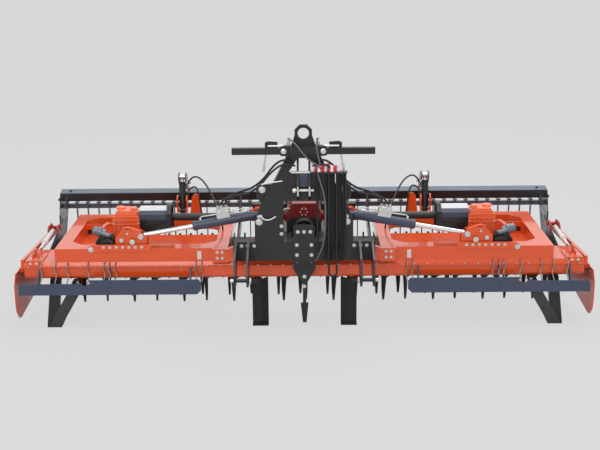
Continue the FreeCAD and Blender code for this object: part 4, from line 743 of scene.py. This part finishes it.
for way in (1, -1):
    turn_shape(shape, at(way * 0.515, -0.75, 0.63), (-way, 0, 0),
               [(0, 0.032), (0.012, 0.032), (0.016, 0.026)], 20)
    turn_shape(shape, at(way * 0.666, -0.75, 0.63), (way, 0, 0),
               [(0, 0.0183), (0.03, 0.0183), (0.034, 0.014)], 20)
    turn_shape(shape, at(way * FOLD_BASE[0], -0.2315, FOLD_BASE[1]), FORWARD,
               [(0, 0.03), (0.012, 0.03), (0.016, 0.024)], 20)
    turn_shape(shape, at(way * 0.185, -0.54, 1.825), FORWARD,
               [(0, 0.026), (0.012, 0.026), (0.016, 0.02)], 20)
    turn_shape(shape, at(way * 0.14, -0.49, 1.86), UP,
               [(0, 0.016), (0.05, 0.016), (0.056, 0.01), (0.085, 0.01)])
    turn_shape(shape, at(way * 0.345, -0.515, 1.825), (way * 0.035, 0, -0.20),
               [(0, 0.008), (0.12, 0.008), (0.122, 0.012), (0.205, 0.012)], 14)
    turn_shape(shape, at(way * 0.175, -0.512, 1.868), (way, 0, 0),
               [(0, 0.007), (0.02, 0.011), (0.155, 0.011), (0.16, 0.007)])
turn_shape(shape, at(-0.105, -0.5, 1.44), (1, 0, 0),
           [(0, 0.026), (0.012, 0.028), (0.03, 0.028), (0.031, 0.0155), (0.20, 0.0155), (0.204, 0.012)], 20)
turn_shape(shape, at(-0.12, -0.492, 1.612), (1, 0, 0),
           [(0, 0.008), (0.004, 0.012), (0.206, 0.012), (0.21, 0.008)])
# Thin zinc strips on the front edges of the top link ears are painted highlights.
for way in (1, -1):
    plate(shape, way, -0.551, (
        (0.047, 1.395), (0.063, 1.395), (0.063, 1.485), (0.047, 1.485)), -0.002, 0.0008)
finish_piece(shape, "frame_pins_and_edge_highlights", "frame", zinc_bolt)
bolt_heads("mast_bolts", "frame", [
    (at(-0.395, -0.461, 1.44), ALONE, 1, FORWARD),
    (at(0.37, -0.461, 1.44), (0, 0, 0.085), 2, FORWARD),
    (at(-0.428, MAST_FRONT, 1.128), ALONE, 1, FORWARD),
    (at(0.41, MAST_FRONT, 1.128), ALONE, 1, FORWARD)], radius=0.024)
bolt_heads("small_mast_bolts", "frame", [
    (at(-0.428, MAST_FRONT, 1.18), ALONE, 1, FORWARD),
    (at(0.41, MAST_FRONT, 1.18), ALONE, 1, FORWARD),
    (at(-0.215, MAST_FRONT, 1.01), (0, 0, 0.075), 2, FORWARD),
    (at(0.215, MAST_FRONT, 1.01), (0, 0, 0.075), 2, FORWARD),
    (at(-0.06, PLATE_FRONT, 1.03), (0.06, 0, 0), 3, FORWARD),
    (at(-0.07, PLATE_FRONT, 0.80), (0.14, 0, 0), 2, FORWARD),
    (at(-0.07, PLATE_FRONT, 0.90), (0.14, 0, 0), 2, FORWARD),
    (at(-0.60, MAST_FRONT, 0.89), (0.06, 0, 0), 3, FORWARD),
    (at(0.48, MAST_FRONT, 0.89), (0.06, 0, 0), 3, FORWARD),
    (at(-0.09, MAST_FRONT, 1.80), (0.09, 0, 0), 3, FORWARD)], radius=0.013)

# Centre tine and light bar. The tine is forged and worn at its point; the bar is a thin
# square tube, and both are painted black.
dress("centre_tine", black_paint)
dress("light_bar", black_paint)
bolt_heads("centre_tine_bolts", "frame", [
    (at(-0.07, -0.363, 0.70), (0.14, 0, 0), 2, FORWARD), (at(0, -0.363, 0.44), (0, 0, 0.10), 2, FORWARD)],
    radius=0.014)

# Centre gearbox. A dark red iron casting on the rails, with a bolted cover on its front and the
# input shaft under a black guard.
red_paint = paint("red_casting", (0.30, 0.010, 0.009), 0.3, 0.5, 0.2, coat=0.2, ripple=60,
                  ripple_depth=0.001)
dress("centre_gearbox", red_paint)
steel = paint("turned_steel", (0.55, 0.55, 0.56), 0.2, 0.4, 0.08, metallic=1.0, blotch_size=30, ripple=500)
dress("input_shaft", steel)
dress("input_guard", black_plastic)
shape = bmesh.new()
turn_shape(shape, at(0, -0.101, 1.13), FORWARD, [(0, 0.045), (0.018, 0.045), (0.024, 0.038)], 24)
for way in (1, -1):
    plate(shape, way, -0.101, ((0.135, 1.04), (0.165, 1.04), (0.165, 1.12), (0.125, 1.16)), -0.014, 0.003)
finish_piece(shape, "gearbox_covers", "frame", red_paint)
bolt_heads("gearbox_cover_bolts", "frame", [
    (at(0.034 * math.cos(turn), -0.126, 1.13 + 0.034 * math.sin(turn)), ALONE, 1, FORWARD)
    for turn in [math.radians(60 * k) for k in range(6)]], radius=0.006)

# Drive shafts. Telescoping plastic guards, black, from the centre gearbox out to each wing,
# each with a corrugated bell at its inner end.
for side, way in SIDES:
    dress(f"drive_tube_{side}", black_plastic)
    dress(f"drive_core_{side}", black_plastic)
    shape = bmesh.new()
    ribs = [(0, 0.05)]
    for number in range(5):
        ribs += [(0.01 + 0.02 * number, 0.056), (0.02 + 0.02 * number, 0.050)]
    turn_shape(shape, at(way * 0.33, 0.1, 1.03), (way, 0, 0), ribs + [(0.13, 0.047)], 20)
    finish_piece(shape, f"shaft_bell_{side}", f"drive_tube_{side}", black_plastic)

# Fold cylinders. Slate barrels with a bright rod; a zinc-plated valve block sits on each barrel
# with its pipes along the top and hoses that come down from the mast.
rubber = paint("hose_rubber", (0.016, 0.016, 0.017), 0.3, 0.5, 0.12, ripple=900)
pipe_steel = paint("pipe_steel", (0.55, 0.54, 0.52), 0.25, 0.45, 0.08, metallic=1.0,
                   blotch_size=30, ripple=400)
FOLD_BACK = -0.175
fold_slope = math.atan2(FOLD_BASE[1] - FOLD_EYE[1], FOLD_EYE[0] - FOLD_BASE[0])


def on_barrel(way, along, back, above):
    """A point of a fold cylinder: along it from its base pin, back and above its axis."""
    run, drop = math.cos(fold_slope), math.sin(fold_slope)
    return at(way * (FOLD_BASE[0] + along * run + above * drop), FOLD_BACK + back,
              FOLD_BASE[1] - along * drop + above * run)


for side, way in SIDES:
    dress(f"fold_barrel_{side}", slate_paint)
    dress(f"fold_rod_{side}", bright_rod)
    body = f"fold_barrel_{side}"
    down = on_barrel(way, 1, 0, 0) - on_barrel(way, 0, 0, 0)
    off = on_barrel(way, 0, 0, 1) - on_barrel(way, 0, 0, 0)
    shape = bmesh.new()
    turn_shape(shape, on_barrel(way, 0.625, 0, 0), down, [
        (0, 0.0455), (0.002, 0.050), (0.030, 0.050), (0.036, 0.044), (0.046, 0.040), (0.048, 0.026)], 28)
    finish_piece(shape, f"gland_{side}", body, slate_paint)
    shape = bmesh.new()
    low = [on_barrel(way, along, -0.036, above) for along, above in (
        (0.285, 0.030), (0.42, 0.030), (0.42, 0.115), (0.405, 0.128), (0.30, 0.128), (0.285, 0.115))]
    extrude(shape, low, (0, 0.072, 0), 0.004)
    for along, above, radius in ((0.31, 0.128, 0.014), (0.36, 0.128, 0.018), (0.395, 0.128, 0.014)):
        turn_shape(shape, on_barrel(way, along, 0.004, above - 0.004), off,
                   [(0, radius), (0.022, radius), (0.024, radius * 0.7), (0.034, radius * 0.7)], 12)
    for along in (0.31, 0.38):
        turn_shape(shape, on_barrel(way, along, -0.034, 0.09), FORWARD,
                   [(0, 0.015), (0.012, 0.015), (0.014, 0.01)], 12)
    for port in (0.585, 0.10):
        turn_shape(shape, on_barrel(way, port, 0, 0.042), off,
                   [(0, 0.014), (0.02, 0.014), (0.024, 0.010)], 12)
    finish_piece(shape, f"valve_block_{side}", body, zinc_bolt)
    bent_rod(f"barrel_pipes_{side}", [
        [on_barrel(way, 0.42, 0.0, 0.075), on_barrel(way, 0.50, 0.0, 0.075),
         on_barrel(way, 0.585, 0.0, 0.080),
         on_barrel(way, 0.587, 0.0, 0.060)],
        [on_barrel(way, 0.285, 0.01, 0.085), on_barrel(way, 0.20, 0.01, 0.080),
         on_barrel(way, 0.10, 0.0, 0.085),
         on_barrel(way, 0.10, 0.0, 0.060)],
        [on_barrel(way, 0.285, -0.02, 0.065), on_barrel(way, 0.22, -0.03, 0.060),
         on_barrel(way, 0.14, -0.035, 0.062)]],
        0.006, body, pipe_steel)
    bent_rod(f"fold_hoses_{side}", [
        [at(way * 0.10, -0.50, 1.70), at(way * 0.16, -0.53, 1.755), at(way * 0.27, -0.50, 1.70),
         at(way * 0.38, -0.42, 1.53), at(way * 0.50, -0.32, 1.42), at(way * 0.62, -0.20, 1.36),
         on_barrel(way, 0.31, 0.004, 0.22), on_barrel(way, 0.31, 0.004, 0.155)],
        [at(way * 0.08, -0.52, 1.68), at(way * 0.17, -0.55, 1.72), at(way * 0.29, -0.52, 1.64),
         at(way * 0.40, -0.44, 1.49), at(way * 0.52, -0.34, 1.37), at(way * 0.66, -0.22, 1.33),
         on_barrel(way, 0.36, 0.004, 0.20), on_barrel(way, 0.36, 0.004, 0.155)]],
        0.010, ("frame", body), rubber,
        ends=(at(way * 0.45, -0.35, 1.45), on_barrel(way, 0.30, 0, 0.15)))

# Hoses of the depth cylinders. Two black rubber hoses on each wing, from the fittings of the
# cylinder forward along the deck and down through it.
for side, way in SIDES:
    bent_rod(f"depth_hoses_{side}", [
        [at(way * 1.25, 0.985, 1.165), at(way * 1.20, 0.96, 1.27), at(way * 1.06, 0.83, 1.24),
         at(way * 0.93, 0.62, 1.05),
         at(way * 0.85, 0.42, 0.90), at(way * 0.84, 0.38, 0.81)],
        [at(way * 1.25, 0.985, 1.09), at(way * 1.17, 0.95, 1.17), at(way * 1.12, 0.90, 1.06),
         at(way * 1.10, 0.86, 0.82)]],
        0.009, f"wing_{side}", rubber)

# Hoses. Black rubber hydraulic hoses parked in the rack on the mast, with red and white
# couplings, a thinner cable loop beside the gearbox and more hoses down the mast.
dress("hoses", rubber)
red_cap = paint("red_cap", (0.65, 0.03, 0.05), 0.35, 0.55, 0.1, ripple=300)
white_cap = paint("white_cap", (0.80, 0.80, 0.78), 0.35, 0.5, 0.1, ripple=300)
for finish, name, colour, places in ((red_cap, "red_couplings", "red_paint", (0.115, 0.175, 0.235, 0.295)),
                                     (white_cap, "pale_couplings", "bare_steel",
                                      (0.085, 0.145, 0.205, 0.265, 0.32))):
    shape = bmesh.new()
    for number, across in enumerate(places):
        tall = 0.058 if number % 2 else 0.075
        back = -0.535 if number % 2 else -0.515
        turn_shape(shape, at(across, back, 1.627), (0.0, 0.02, 1), [
            (0, 0.017), (0.018, 0.017), (0.020, 0.013), (tall - 0.02, 0.013),
            (tall - 0.018, 0.016), (tall, 0.014)], 14)
    finish_piece(shape, name, "frame", finish)
routes = []
for number, across in enumerate((0.215, 0.255, 0.285, 0.33, 0.375, 0.392)):
    front = 0.012 * (number % 2)
    routes.append([at(across, -0.515 - front, 1.612), at(across, -0.515 - front, 1.4),
                   at(across + 0.004, -0.50 - front, 1.1), at(across - 0.01, -0.50 - front, 0.80),
                   at(across - 0.03, -0.50, 0.74)])
bent_rod("mast_hoses", routes, 0.010, "frame", rubber)
# Three hoses on the mast are drawn in grey rubber.
grey_rubber = paint("grey_hose", (0.12, 0.12, 0.12), 0.3, 0.5, 0.2, ripple=900)
bent_rod("worn_hoses", [
    [at(0.13, -0.555, 1.62), at(0.15, -0.556, 1.55), at(0.20, -0.556, 1.38), at(0.205, -0.556, 1.20),
     at(0.195, -0.54, 0.95), at(0.14, -0.52, 0.80), at(0.11, -0.50, 0.745)],
    [at(-0.14, -0.50, 1.94), at(-0.09, -0.53, 1.91), at(0.0, -0.555, 1.80), at(0.06, -0.555, 1.73),
     at(0.15, -0.55, 1.685), at(0.16, -0.535, 1.64)],
    [at(0.13, -0.50, 1.94), at(0.115, -0.53, 1.88), at(0.14, -0.55, 1.76), at(0.155, -0.55, 1.70)]],
    0.008, "frame", grey_rubber)
bent_rod("gearbox_cable", [
    [at(-0.41, -0.485, 1.20), at(-0.40, -0.505, 1.165), at(-0.33, -0.515, 1.15), at(-0.25, -0.47, 1.19),
     at(-0.18, -0.30, 1.22), at(-0.14, -0.14, 1.17)],
    [at(-0.40, -0.485, 1.495), at(-0.34, -0.50, 1.515), at(-0.25, -0.50, 1.525), at(-0.20, -0.49, 1.53)]],
    0.006, "frame", white_cap)

# Parking stands. Angle iron inside and a leg with a brace and two holes outside, painted black,
# each held on the trough by a zinc-plated pin.
# The brace is drawn in a lighter, partly metallic black than the leg.
lighter_black = paint("lighter_black", (0.055, 0.053, 0.050), 0.25, 0.5, 0.2, metallic=0.4,
                   coat=0.1, blotch_size=12)
for side, way in SIDES:
    dress(f"inner_stand_{side}", black_paint)
    dress(f"outer_stand_{side}", black_paint)
    shape = bmesh.new()
    plate(shape, way, -0.271, ((2.175, 0.435), (2.30, 0.435), (2.555, 0.004), (2.43, 0.004)), -0.006, 0.001)
    finish_piece(shape, f"stand_brace_{side}", f"outer_stand_{side}", lighter_black)
    shape = bmesh.new()
    for across, up in ((2.275, 0.33), (2.37, 0.17)):
        turn_shape(shape, at(way * across, -0.2765, up), FORWARD, [(0, 0.012), (0.001, 0.012)], 14)
    finish_piece(shape, f"stand_holes_{side}", f"outer_stand_{side}", black_paint)
    for name, across in (("inner", 0.535), ("outer", 2.235)):
        shape = bmesh.new()
        turn_shape(shape, at(way * across, -0.276, 0.465), FORWARD,
                   [(0, 0.016), (0.008, 0.016), (0.012, 0.011)], 14)
        finish_piece(shape, f"stand_pin_{name}_{side}", f"wing_{side}", zinc_bolt)
